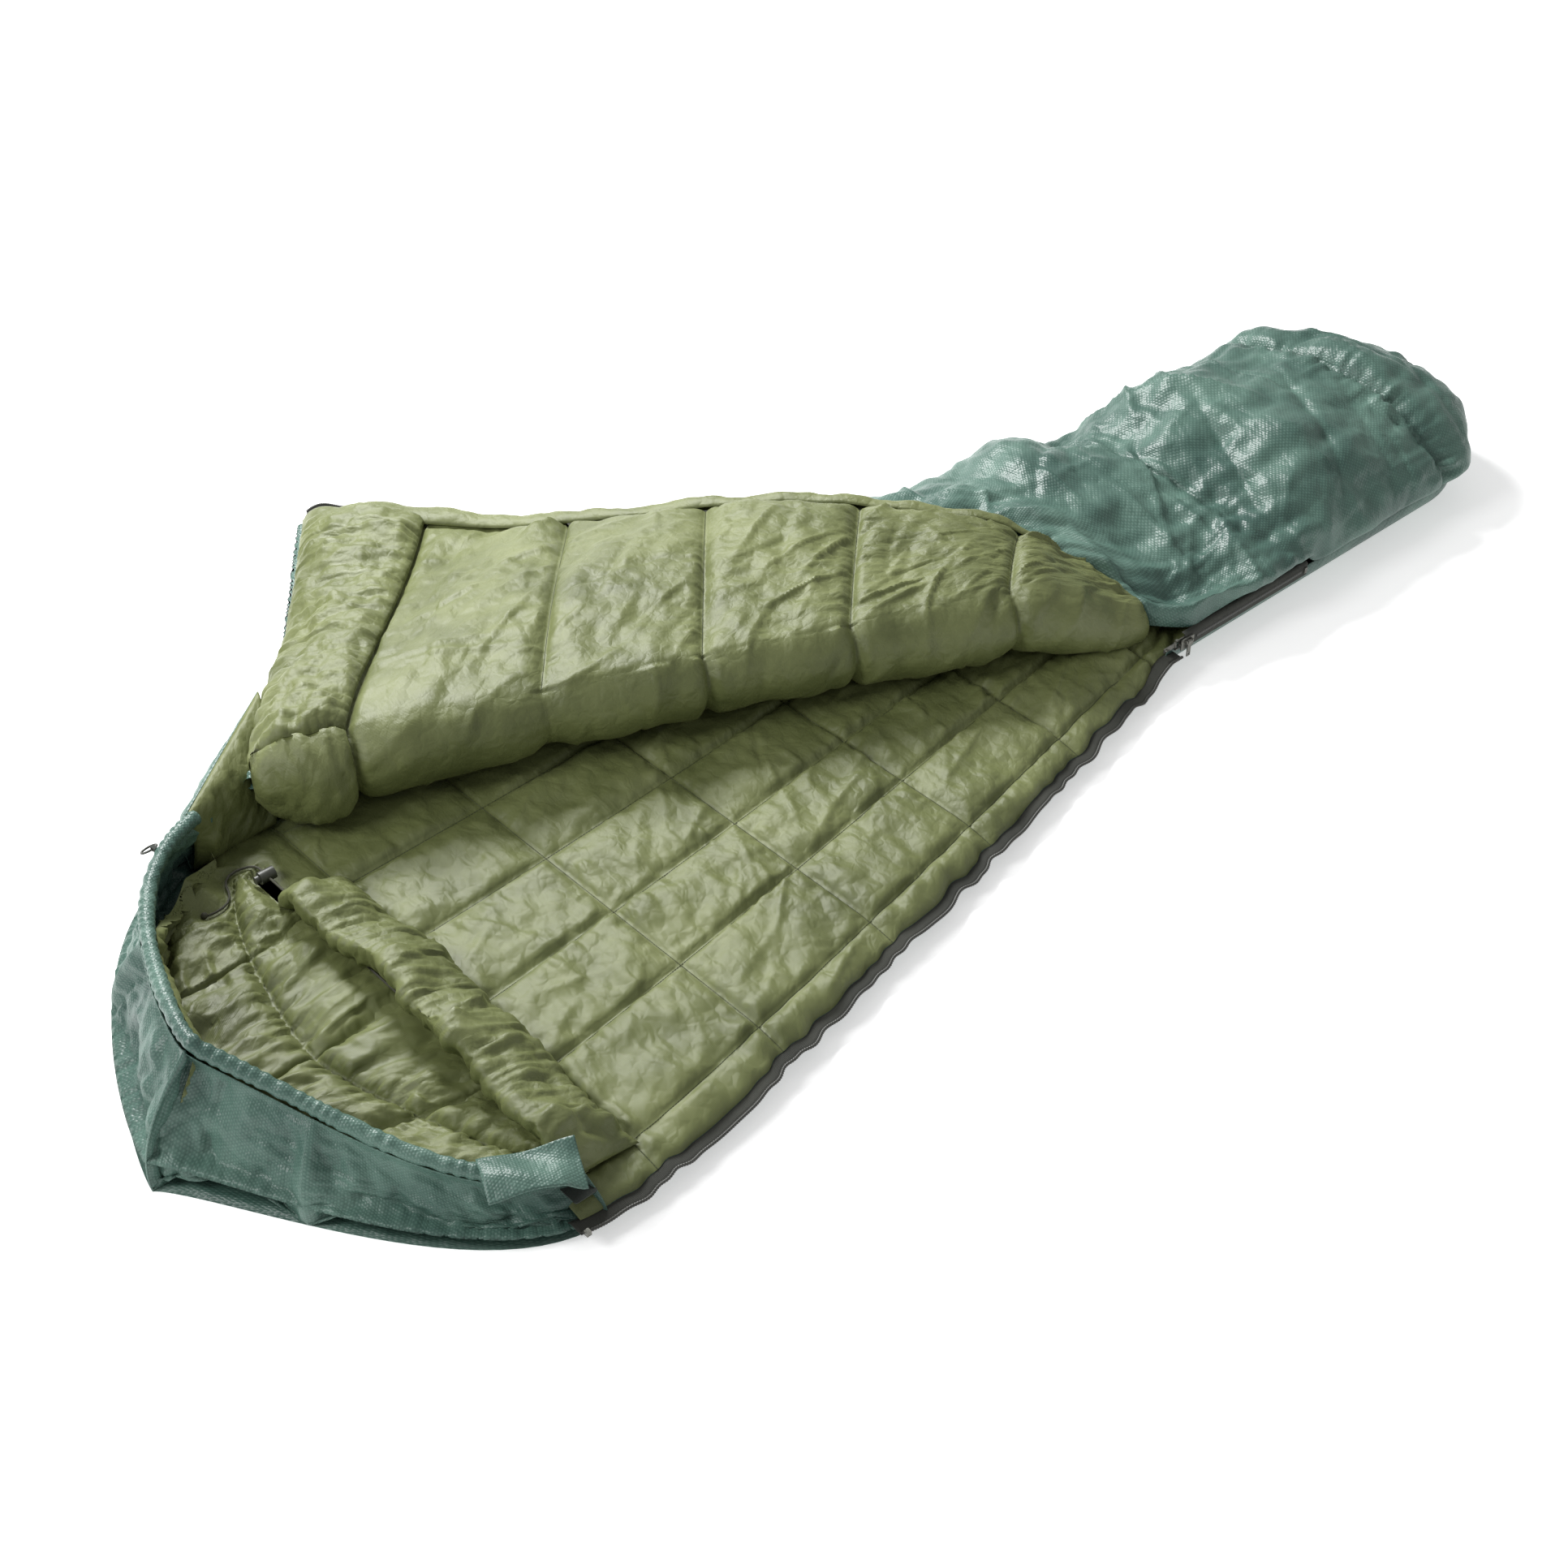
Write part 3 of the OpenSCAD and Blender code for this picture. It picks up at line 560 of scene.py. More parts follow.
TEAL = fabric("teal_honeycomb", (0.028, 0.066, 0.055), (0.070, 0.134, 0.108), (0.142, 0.240, 0.196),
              0.0034, True, 0.40, 0.24, 0.36, 0.30)
OLIVE = fabric("olive_satin", (0.085, 0.100, 0.033), (0.140, 0.160, 0.058), (0.200, 0.222, 0.092),
               0.0012, False, 0.47, 0.16, 0.20, 0.30)
TAPE = fabric("zip_tape_weave", (0.020, 0.022, 0.017), (0.040, 0.042, 0.034), (0.070, 0.072, 0.058),
              0.0014, False, 0.75, 0.15, 0.6, 0.05)
COIL = plain("coil_nylon", (0.035, 0.036, 0.030), 0.42)
METAL = plain("zip_metal_paint", (0.16, 0.16, 0.14), 0.38, metallic=0.7, depth=0.08)
LOCK = plain("lock_plastic_dark", (0.045, 0.048, 0.038), 0.45)
CORD = plain("elastic_cord", (0.060, 0.060, 0.042), 0.8, grain=600.0, depth=0.6)
STEEL = plain("spring_steel_bare", (0.55, 0.55, 0.56), 0.3, metallic=1.0)
HOOKS = plain("touch_fastener_dark", (0.035, 0.042, 0.036), 0.9, grain=900.0, depth=0.9)
# real thread, with its colour darkened below the lining's to paint the shade in the seams' grooves
THREAD_AND_SEAM_SHADE = plain("olive_thread_and_seam_shade", (0.055, 0.065, 0.028), 0.7, grain=900.0, depth=0.3)
# material and slot of each kind of piece
SHELL, LINING = (TEAL, "shell_fabric"), (OLIVE, "lining_fabric")
ZIP_TAPE, ZIP_COIL, FASTENER = (TAPE, "webbing"), (COIL, "zip_coil"), (HOOKS, "touch_fastener")


LAY_Z = 44  # mm, the cord's height where it lies on the hood's lining
CORD_ROUTE = [(338, 251, 52), (338, 262, 52), (338, 273, 52), (338, 284, 52), (338, 295, 52), (338, 306, 52),
              (338, 316, 52), (337, 324, 50), (333, 332, LAY_Z + 3), (326, 337, LAY_Z + 1), (317, 339, LAY_Z),
              (308, 337, LAY_Z), (300, 331, LAY_Z), (295, 322, LAY_Z), (292, 312, LAY_Z), (288, 303, LAY_Z),
              (281, 296, LAY_Z), (272, 292, LAY_Z), (262, 291, LAY_Z), (252, 292, LAY_Z)]


# ---- back quilt ----
QUILT_LINES = [0.06, 0.25, 0.42, 0.60, 0.78]  # shares of the width where the long seams run
BACK_FROM, BACK_TO = 0.300, 2.160  # ends of the lining
BEND_SHARE, BEND_R = 0.08, 0.030  # the underside turns up at its sides over this share, with this radius


def cross_seams(start, end):
    count = int((end - FIRST_QUILT_X) / QUILT_X) + 1
    return [(FIRST_QUILT_X + k * QUILT_X - start) / (end - start) for k in range(count)]


def back_surface(u, v):
    x = lerp(BACK_FROM, BACK_TO, u)
    side, rise = edge_wave(x)
    near, far = near_y(x) + 0.028 * smooth((x - 1.50) / 0.06), far_y(x) - 0.012
    y = lerp(near, far, v)
    edge = (1 - clamp((y - near) / 0.07)) ** 2
    z = SEAM_Z - (0.010 - rise) * edge - 0.004 * (1 - clamp((far - y) / 0.05)) ** 2
    return stack(x, y - side * edge, z)


def back_underside(u, v):
    """The outer skin: flat on the ground, turned up at both sides and closed over the foot."""
    s, k = stations(lerp(HOOD_L, FOOT_U, u))
    near, far = near_y(s), far_y(s)
    mid, half = (near + far) / 2, (far - near) / 2 * np.maximum(k, 0.02)
    side, rise = edge_wave(s)
    zip_h = np.where(s < 1.5, 0.022 + rise, 0.044)
    bend_near, bend_far = clamp(1 - v / BEND_SHARE), clamp((v - 1 + BEND_SHARE) / BEND_SHARE)
    inset = BEND_R * (1 - np.sin((bend_near + bend_far) * math.pi / 2)) * k
    across = clamp((v - BEND_SHARE) / (1 - 2 * BEND_SHARE))
    middle = lerp(mid - half + BEND_R * k, mid + half - BEND_R * k, across)
    edge = np.where(v <= 0.5, mid - half + inset - side * bend_near, mid + half - inset)
    y = np.where((v > BEND_SHARE) & (v < 1 - BEND_SHARE), middle, edge)
    rise_near = (zip_h - 0.001) * (1 - np.cos(bend_near * math.pi / 2))
    rise_far = 0.044 * (1 - np.cos(bend_far * math.pi / 2))
    z = lerp(0.05, 0.0012 + rise_near + rise_far, smooth(k * 3))
    return stack(s, y, z)


def below_cord(grid):
    """Press a lining down where the neck's cord and its lock lie on it."""
    path = np.array(CORD_ROUTE) / 1000.0
    path = resample(path, 0.004)
    near = np.linalg.norm(grid[:, :, None, :2] - path[None, None, :, :2], axis=-1)
    nearest = near.argmin(-1)
    radius = 0.004 + 0.008 * (path[nearest, 0] > 0.335)
    away = np.maximum(near.min(-1) - radius, 0)
    cap = path[nearest, 2] - radius + 0.8 * away
    grid[..., 2] = np.minimum(grid[..., 2], np.maximum(cap, 0.036))
    return grid


def make_back():
    n = int((BACK_TO - BACK_FROM) / CELL)
    seams = seams_at(cross_seams(BACK_FROM, BACK_TO), QUILT_LINES, 0.04, (BACK_TO - BACK_FROM, 0.70))
    lining = cloth(back_surface, (int(n * 1.3), 86), seams, 0.007, (0.05, 0.05), seed=11,
                   grain=(3, 6), noise=0.003,
                   folds=((230, 90, 30, 0.10, 0.0045, 0.005), (150, 20, 35, 0.18, 0.005, 0.006)),
                   facets=((0.11, 0.075, 0.0045), (0.045, 0.032, 0.0016)), pucker=0.003)
    lining = below_cord(lining)
    piece = put("back_lining_quilt", lining, LINING, "bag", ("back_lining", "back_fill"),
                thick=0)
    shown = [share for share in cross_seams(BACK_FROM, BACK_TO) if share < 0.66]
    paths = seam_rows(lining, shown) + seam_columns(lining, QUILT_LINES, 0, -160)
    stitches("back_lining_stitches", paths, "bag")
    u, v = np.meshgrid(np.linspace(0, 1, 240), np.linspace(0, 1, 90), indexing="ij")
    put("back_shell_quilt", back_underside(u, v), SHELL, "bag", ("back_shell",), flip=True)


# ---- hood ----
HUB = np.array([0.300, 0.0])  # the walls lean towards this point
HOOD_A = 86.0  # the lining spans this many degrees to each side of the crown
WALL_SHARE = 0.38  # share of the lining's way that lies on the wall
BASE_Z = 0.040  # height of the wall's inner foot
LINING_SINK = 0.45  # the lining lies this share of the wall's thickness inside the wall, but not at its top


def outline(a):
    """The hood's outline for an angle from the crown, -90 on the zip side to 90 on the far side."""
    x = HOOD_L * (1 - np.cos(np.radians(a)))
    return x, np.where(a < 0, near_y(x), far_y(x))


def rim_height(a):
    return lerp(RIM_H[0], np.where(a < 0, RIM_H[1], RIM_H[2]), smooth(np.abs(a) / 90))


def wall(a, h, depth, foot=0.0):
    """A point of the hood's wall: h is the share of its height over foot, depth 0 is outside, 1 inside."""
    x, y = outline(a)
    dx, dy = HUB[0] - x, HUB[1] - y
    length = np.hypot(dx, dy)
    lean = lerp(0.070, 0.030, np.abs(a) / 90)
    off = lean * h ** 1.6 - 0.010 * np.sin(math.pi * h) + depth * lerp(0.036, 0.020, h)
    return stack(x + dx / length * off, y + dy / length * off, lerp(foot, rim_height(a), h))


def hood_bowl(u, v):
    """The hood's lining: v runs down the wall's inside and over the base to the neck."""
    a = lerp(-HOOD_A, HOOD_A, u)
    down = clamp(v / WALL_SHARE)
    inner = wall(a, 1 - down, 1 + LINING_SINK * smooth(down * 3), BASE_Z)
    foot = wall(a, np.zeros_like(a), 1 + LINING_SINK, BASE_Z)
    neck_y = lerp(NEAR_NECK * 0.80, FAR_NECK * 0.80, smooth(u) * 0.5 + u * 0.5)
    neck = stack(0.352 + 0 * u, neck_y, 0.034 + 0 * u)
    floor = lerp(foot, neck, (clamp((v - WALL_SHARE) / (1 - WALL_SHARE)) ** 0.9)[..., None])
    points = np.where((v < WALL_SHARE)[..., None], inner, floor)
    for _ in range(6):
        points[:, 1:-1] = (points[:, :-2] + 2 * points[:, 1:-1] + points[:, 2:]) / 4
    return points


def hood_outside(a_from, a_to):
    """The outer face between two angles, turned in under the hood at its foot."""
    def surface(u, v):
        a = lerp(a_from, a_to, u)
        up = clamp((v - 0.12) / 0.88)
        side = wall(a, up, 0.0, 0.003)
        under = wall(a, 0 * a, 1.0 - v / 0.12, 0.0012)
        return np.where((v < 0.12)[..., None], under, side)
    return surface


def rim_path(a_from, a_to, count):
    a = np.linspace(a_from, a_to, count)
    middle = (wall(a, np.ones_like(a), 0.0) + wall(a, np.ones_like(a), 1.0)) / 2
    middle[:, 2] += HEM_R * 0.6
    return middle


def gathered_tube(path, radius, seed, depth=0.16, sides=14, pitch=0.011):
    """A casing with its cloth gathered on a cord: rings of uneven size, with creases that slant."""
    rng = np.random.default_rng(seed)
    path = resample(path, 0.0025)
    n = len(path)
    s = np.arange(n) * 0.0025
    phase = np.cumsum(1 + 0.5 * ripple(n, 1, 12, 1, rng)[:, 0]) * 0.0025 * 2 * math.pi / pitch
    turn = np.linspace(0, 2 * math.pi, sides, endpoint=False)
    crease = np.cos(phase[:, None] + 0.9 * np.sin(turn)[None] + 0.7 * ripple(n, sides, 9, 4, rng))
    size = radius * (1 + depth * crease + 0.05 * np.sin(s * 40)[:, None])
    centre = path[:, None]
    return centre + (tube(path, 1.0, sides) - centre) * size[..., None]


def make_hood():
    seams = seams_at((0.25, 0.5, 0.75), (0.40, 0.70), 0.06, (0.7, 0.42))
    lining = cloth(hood_bowl, (100, 60), seams, 0.014, (0.17, 0.08), seed=21, flip=-1, grain=(3, 8),
                   noise=0.006, folds=((110, 90, 30, 0.12, 0.007, 0.010),),
                   facets=((0.07, 0.10, 0.005), (0.035, 0.045, 0.002)), pucker=0.004)
    lining = below_cord(lining)
    piece = put("hood_lining_quilt", lining, LINING, "bag",
                ("hood_side_lining", "hood_near_fill", "hood_far_fill", "hood_base_lining", "hood_base_fill"),
                flip=True, thick=0)
    seams = seams_at((0.5,), (0.35,), 0.05, (0.35, 0.2))
    for name, a0, a1, node, seed in (("hood_near_shell", -90.0, 0.0, "hood_side_near_shell", 22),
                                     ("hood_far_shell", 0.0, 90.0, "hood_side_far_shell", 23)):
        skin = cloth(hood_outside(a0, a1), (60, 34), seams, 0.012, (0.08, 0.05), seed=seed,
                     grain=(3, 6), noise=0.004, folds=((60, 60, 35, 0.12, 0.007, 0.008),),
                     facets=((0.13, 0.09, 0.010), (0.05, 0.04, 0.0035)), pucker=0.004)
        shell = put(name, skin, SHELL, "bag", (node,))
    u, v = np.meshgrid(np.linspace(-90, 90, 60), np.linspace(0, 1, 20), indexing="ij")
    x, y = outline(u)
    base = stack(lerp(x, 0.335, v), lerp(y, 0.0, v), 0.001)
    put("hood_underside", base, SHELL, "bag", ("hood_base_shell",), flip=True)
    hem = gathered_tube(rim_path(-84, 84, 90), HEM_R, seed=24, depth=0.08, pitch=0.017)
    put("hood_hem_gathered", hem, SHELL, "bag", ("hood_hem",), thick=0, closed=True)


def gusset(side):
    """The panel that joins the hood's far wall to the head end of the flap. side is -1 outside, 1 inside."""
    low = np.array([[0.288, 0.392, 0.030], [0.405, 0.388, 0.040]])
    high = np.array([[0.284, 0.368, RIM_H[2] + 0.014], [0.478, 0.520, FOLD_Z + 0.026]])

    def surface(u, v):
        u3, v3 = u[..., None], v[..., None]
        flat = (low[0] * (1 - u3) + low[1] * u3) * (1 - v3) + (high[0] * (1 - u3) + high[1] * u3) * v3
        swell = np.sin(math.pi * v) ** 0.7 * (0.5 + 0.5 * np.sin(math.pi * u))
        away = np.array([0.55, -0.80, 0.25]) * side
        return flat + away * (0.014 * swell)[..., None]
    return surface


def make_gusset():
    for name, side, flip, kind, seed in (("neck_gusset_shell", -1, -1, SHELL, 26),
                                         ("neck_gusset_lining", 1, 1, LINING, 27)):
        skin = cloth(gusset(side), (22, 14), lines, 0.006, (0.12, 0.06), seed=seed, flip=flip,
                     grain=(3, 5), noise=0.004, folds=((22, 80, 25, 0.09, 0.005, 0.007),))
        piece = put(name, skin, kind, None, ("hood_gusset",) if side < 0 else (), flip=flip > 0)
        blend_gusset(piece)


def blend_gusset(piece):
    """Bakes the panel's transform into its mesh."""
    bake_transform(piece)


# ---- upper quilt over the legs, and the foot ----
def leg_share(x, y):
    """0 where the quilt lies flat and 1 where it is a tube round the legs."""
    return smooth((x - 1.63 + 0.75 * (y + 0.06)) / 0.26)


def slider_dip(x, y):
    """How far the quilt is drawn down beside the slider."""
    return 0.050 * smooth((x - 1.36) / 0.14) * smooth((1.78 - x) / 0.2) * (1 - smooth((y + 0.08) / 0.22))


def tube_height(x):
    """Height of the leg tube: a hump beside the slider, a dip, and the foot box."""
    return (0.106 + 0.040 * np.exp(-((x - 1.58) / 0.11) ** 2) + 0.050 * smooth((x - 1.72) / 0.20)
            - 0.020 * np.exp(-((x - 1.75) / 0.05) ** 2))


LEG_FROM = 0.43  # the quilt's hood end under the fold
FOOT_SEAM = 2.115  # the seam before the foot's end panel


def leg_skin(drop, inset):
    """The upper quilt's skin, drop below its outer face and inset from its sides."""
    def surface(u, v):
        x, k = stations(lerp(LEG_FROM, FOOT_U if drop == 0 else CAP_X, u))
        near = lerp(fold_y(np.minimum(x, FOLD_FOOT[0])) + 0.004, near_y(x), smooth((x - 1.49) / 0.07))
        far = far_y(x)
        angle = math.pi * v
        mid, half = (near + far) / 2, ((far - near) / 2 - inset) * k
        y = lerp(lerp(near, far, v), mid - half * np.cos(angle), smooth((x - 1.50) / 0.12))
        share = leg_share(x, y)
        far_edge = np.sqrt(1 - (1 - clamp((far - y) / FAR_SLOPE)) ** 2)
        flat = lerp(0.050, UPPER_Z - drop, far_edge)
        top = lerp(0.060, tube_height(x) - drop, k)
        over_zip = np.where(v < 0.5, smooth((1.83 - x) / 0.03), 0) if drop == 0 else 0.0
        foot = lerp(0.060, 0.044 + 0.017 * over_zip, k)
        arch = foot + (top - foot) * np.abs(np.sin(angle)) ** 0.85
        near_drop = smooth((x - 1.50) / 0.10) * (1 - np.sin(np.minimum(angle, math.pi / 2)) ** 0.7)
        flat = lerp(flat, 0.045 + 0.016 * over_zip, near_drop)
        z = lerp(flat, arch, share) - slider_dip(x, y) * (1 - near_drop)
        return stack(x, y, z)
    return surface


def leg_slack(u, v):
    x = lerp(LEG_FROM, FOOT_U, u)
    return 0.045 + 0.09 * smooth((x - 1.5) / 0.2)


def make_leg():
    length = FOOT_U - LEG_FROM
    n = int(length / CELL)
    seams = seams_at([(FOOT_SEAM - LEG_FROM) / length], (), 0.06, (length, 0.55))
    skin = cloth(leg_skin(0, 0), (int(n * 1.2), 64), seams, 0.012, (0.06, leg_slack), seed=31,
                 grain=(6, 4), noise=0.006,
                 folds=((60, 75, 40, 0.28, 0.010, 0.014), (140, 60, 45, 0.14, 0.005, 0.008)),
                 facets=((0.24, 0.11, 0.017), (0.11, 0.055, 0.008), (0.045, 0.030, 0.0020)), pucker=0.006)
    shell = put("leg_shell_quilt", skin, SHELL, "bag",
                ("leg_shell", "thigh_fill", "shin_fill", "foot_end_shell", "foot_end_fill"), thick=0)
    u, v = np.meshgrid(np.linspace(0, 1, 120), np.linspace(0, 1, 30), indexing="ij")
    put("leg_lining_quilt", leg_skin(0.040, 0.03)(u, v), LINING, "bag",
        ("leg_lining", "foot_end_lining"), flip=True)


# ---- upper quilt: the folded-back flap ----
def mirrored(x, y):
    away = (x - FOLD_HEAD[0]) * FOLD_OUT[0] + (y - FOLD_HEAD[1]) * FOLD_OUT[1]
    return x - 2 * away * FOLD_OUT[0], y - 2 * away * FOLD_OUT[1]


def flap_edge(s):
    x = lerp(ZIP_X[0] - 0.005, ZIP_X[1] - 0.016, s)
    return mirrored(x, near_y(x))


def flap_low(x, y):
    """Height of the flap's underside: flat over the bag, then down to the ground past its far edge."""
    start = np.maximum(far_y(x) - FAR_SLOPE + 0.010, fold_y(x) + 0.020)
    return (FOLD_Z + 0.002) * (1 - smooth((y - start) / (far_y(x) + FLAP_REACH - start)))


def flap_dip(s):
    """How far the flap is drawn down towards the slider."""
    return 0.052 * smooth((s - 0.84) / 0.16)


FOLD_IN, ROLL_L = 0.03, math.pi * FOLD_R  # hidden strip under the fold, and the roll's length
FLAP_L = 0.69  # the lining's way over the flap
PATH_L = FOLD_IN + ROLL_L + FLAP_L
FLAP_SEAMS = [0.301, 0.478, 0.642, 0.829]  # shares along the fold of the cross seams' fold ends
SEAM_DRIFT = [0, 0.066, 0.046, 0.043, 0.064, 0.065, 0]  # how far each seam drifts along the bag on its way
BAFFLE_END = 0.100  # the neck baffle's share of the fold's length
EDGE_SEAM = 0.90  # share of the flap's width where the seam along the zip runs


def roll_size(s):
    """Radius of the folded edge, which is smaller at both ends."""
    ends = 1 - 0.60 * (1 - clamp(s / 0.12)) ** 2 - 0.55 * smooth((s - 0.86) / 0.14)
    return FOLD_R * ends * (1 - 0.6 * (1 - clamp(s / 0.03)) ** 2)


def flap_top(s, v):
    """The flap's upper face, and its thickness there."""
    ex, ey = flap_edge(s)
    x = lerp(lerp(FOLD_HEAD[0], FOLD_FOOT[0], s), ex, v)
    y = lerp(lerp(FOLD_HEAD[1], FOLD_FOOT[1], s), ey, v)
    thick = lerp(roll_size(s), 0.020 * (1 - 0.6 * (1 - clamp(s / 0.03)) ** 2), smooth((v - 0.88) / 0.12))
    low = flap_low(x, y) - flap_dip(s)
    wave = 0.003 * np.sin(58 * s + 3 * np.sin(9 * s)) * smooth((v - 0.85) / 0.15)
    return stack(x, y, low + thick + wave)


def flap_path(u, w):
    """The lining's way: out from under the fold, round it, and over the flap to the zip edge."""
    go = w * PATH_L
    v = clamp((go - FOLD_IN - ROLL_L) / FLAP_L)
    s = u + v * np.interp(u, [0, BAFFLE_END] + FLAP_SEAMS + [1], SEAM_DRIFT)
    r = roll_size(s)
    fx, fy = lerp(FOLD_HEAD[0], FOLD_FOOT[0], s), lerp(FOLD_HEAD[1], FOLD_FOOT[1], s)
    turn = clamp((go - FOLD_IN) / ROLL_L)
    angle = -math.pi / 2 + math.pi * turn
    back = clamp(1 - go / FOLD_IN) * FOLD_IN
    bow = 0.030 * np.sin(math.pi * clamp(s / 0.95)) * (1 - turn) ** 0.5
    off = -r * np.cos(angle) * 1.05 + back + bow
    z = FOLD_Z - flap_dip(s) + r * np.sin(angle)
    roll = stack(fx + FOLD_OUT[0] * off, fy + FOLD_OUT[1] * off, z)
    return np.where((go < FOLD_IN + ROLL_L)[..., None], roll, flap_top(s, v))


def flap_seams(u, v, eu, ev):
    start = (FOLD_IN + 0.10 * ROLL_L) / PATH_L
    held, away = lines(u, v, eu, ev, [BAFFLE_END] + FLAP_SEAMS, (), 0.06, (1.21, PATH_L))
    held &= v > start
    edge = way_share(EDGE_SEAM)
    held |= np.abs(v - edge) <= ev
    away[1] = np.minimum(away[1], np.abs(v - edge) * PATH_L / 0.06)
    return held, away


def blend_fold(piece):
    """Bakes the piece's transform into its mesh."""
    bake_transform(piece)


def on_flap(s_from, s_to, w_from, w_to, height, lift):
    """A padded strip on the flap's lining between shares of the fold's length and of the lining's way."""
    def surface(u, v):
        s, w = lerp(s_from, s_to, u), lerp(w_from, w_to, v)
        base = flap_path(s, w)
        step = 0.002
        side = flap_path(np.minimum(s + step, 1), w) - flap_path(np.maximum(s - step, 0), w)
        way = flap_path(s, np.minimum(w + step, 1)) - flap_path(s, np.maximum(w - step, 0))
        out = np.cross(side, way)
        out /= np.maximum(np.linalg.norm(out, axis=-1, keepdims=True), 1e-9)
        return base + out * (lift + height(u, v))[..., None]
    return surface


def way_share(v):
    """The share of the lining's way at share v of the flap's top."""
    return (FOLD_IN + ROLL_L + v * FLAP_L) / PATH_L


def make_flap():
    lining = cloth(flap_path, (130, 92), flap_seams, 0.014, (0.05, 0.06), seed=41,
                   grain=(4, 6), noise=0.004,
                   folds=((90, 55, 25, 0.24, 0.006, 0.009), (150, 70, 35, 0.12, 0.0045, 0.005)),
                   facets=((0.11, 0.22, 0.007), (0.05, 0.09, 0.002)))
    piece = put("flap_lining_quilt", lining, LINING, None,
                ("flap_lining", "flap_fill", "fold_lining", "fold_fill"), thick=0)
    blend_fold(piece)
    first = int((FOLD_IN + ROLL_L) / PATH_L * lining.shape[1]) + 1
    paths = seam_rows(lining, FLAP_SEAMS, first) + seam_columns(lining, [way_share(EDGE_SEAM)])
    stitches("flap_lining_stitches", paths, "flap")
    s, v = np.meshgrid(np.linspace(0, 1, 120), np.linspace(0, 1, 60), indexing="ij")
    under = flap_top(s, v)
    low = flap_low(under[..., 0], under[..., 1]) - flap_dip(s) + 0.001
    edge = np.maximum(smooth((v - 0.94) / 0.06), 1 - clamp(s / 0.02))
    under[..., 2] = lerp(low, under[..., 2] - 0.002, edge)
    put("flap_shell_quilt", under, SHELL, "flap", ("flap_shell",), flip=True)
    bulge = cloth(
        on_flap(0.004, BAFFLE_END, (FOLD_IN + 0.15 * ROLL_L) / PATH_L, way_share(0.97),
                lambda u, v: 0.024 * np.sin(math.pi * (u * 0.94 + 0.03)) ** 0.6 * smooth((1 - v) / 0.06),
                0.002),
        (18, 84), lines, 0.004, (0.12, 0.22), seed=43, grain=(7, 3), noise=0.005,
        folds=((60, 20, 30, 0.08, 0.006, 0.008),),
        facets=((0.06, 0.09, 0.006), (0.022, 0.05, 0.0045)))
    baffle = put("flap_neck_baffle_quilt", bulge, LINING, None, ("flap_neck_baffle",))
    blend_fold(baffle)
    draft = cloth(
        on_flap(0.03, 0.985, way_share(0.905), way_share(0.995),
                lambda u, v: 0.020 * np.sin(math.pi * (v * 0.9 + 0.05)) ** 0.6, 0.001),
        (101, 9), lines, 0.003, (0.05, 0.04), seed=44, grain=(3, 6), noise=0.003)
    tube_piece = put("flap_draft_tube_quilt", draft, LINING, "flap", ("flap_draft_tube",))
    v = np.linspace(0.0, 0.99, 120)
    edge_path = flap_top(np.zeros_like(v), v)
    out = edge_path - flap_top(np.full_like(v, 0.05), v)
    out /= np.linalg.norm(out, axis=1, keepdims=True)
    edge_path = edge_path + out * 0.001 - np.array([0, 0, 0.011])
    hem = gathered_tube(edge_path, 0.008, seed=45, pitch=0.013)
    put("flap_hem_gathered", hem, SHELL, "flap", ("flap_hem",), thick=0, closed=True)


# ---- zip ----
def zip_edge_flap(s, off, lift):
    """Points along the flap's zip edge, off outwards and lift up from it."""
    edge, inner = flap_top(s, np.ones_like(s)), flap_top(s, np.full_like(s, 0.94))
    out = edge - inner
    out[:, 2] = 0
    out /= np.linalg.norm(out, axis=1, keepdims=True)
    return edge + out * off + np.array([0, 0, lift])


def zip_edge_back(x, off, lift):
    side, rise = edge_wave(x)
    z = SEAM_Z - 0.010 + rise + lift + 0.012 * smooth((x - 1.42) / 0.07)
    return np.stack([x, near_y(x) - side - off, z], axis=1)


def strip(edge, t, widths, lifts):
    return np.stack([edge(t, w, h) for w, h in zip(widths, lifts)], axis=1)


def coil_rings(path, radius, squash=0.8):
    """A nylon coil sewn along a tape: close rings, one for each turn of the coil."""
    path = resample(path, 0.0008)
    turns = 0.5 + 0.5 * np.cos(np.arange(len(path)) * 0.0008 * 2 * math.pi / 0.0032)
    return tube(path, radius * (0.72 + 0.28 * turns), 6, squash)


def make_zip():
    s = np.linspace(0.004, 0.995, 400)
    x = np.linspace(ZIP_X[0], ZIP_X[1] + 0.030, 400)
    widths = (-0.006, 0.0, 0.005, 0.010, TAPE_W)
    for name, edge, t, body in (("flap", zip_edge_flap, s, "flap"), ("back", zip_edge_back, x, "bag")):
        lifts = (-0.003, -0.001, -0.0015, -0.002, -0.002)
        put(name + "_zip_tape_woven", strip(edge, t, widths, lifts), ZIP_TAPE, body,
            (name + "_zip_tape",), thick=0.0010, flip=name == "back")
        coil = coil_rings(edge(t, TAPE_W + 0.0005, -0.001), COIL_R)
        put(name + "_zip_coil_turns", coil, ZIP_COIL, body, (name + "_zip_coil",), thick=0,
            closed=True)
    start, end, y, z = CLOSED_ZIP
    x = np.linspace(start - 0.02, end, 90)
    rows = [stack(x, y + dy, z + dz) for dy, dz in
            ((0.007, 0.013), (0.002, 0.0115), (0.0, 0.0092), (0.0, 0.0), (0.0, -0.0092), (0.002, -0.0115),
             (0.007, -0.013))]
    put("closed_zip_tape_woven", np.stack(rows, axis=1), ZIP_TAPE, "bag", ("closed_zip_tape",),
        thick=0.0006)
    coils = coil_rings(stack(x[8:-4], y, z + 0 * x[8:-4]), 0.0016, squash=2.4)
    put("closed_zip_coil_turns", coils, ZIP_COIL, "bag", ("closed_zip_coils",), thick=0, closed=True)


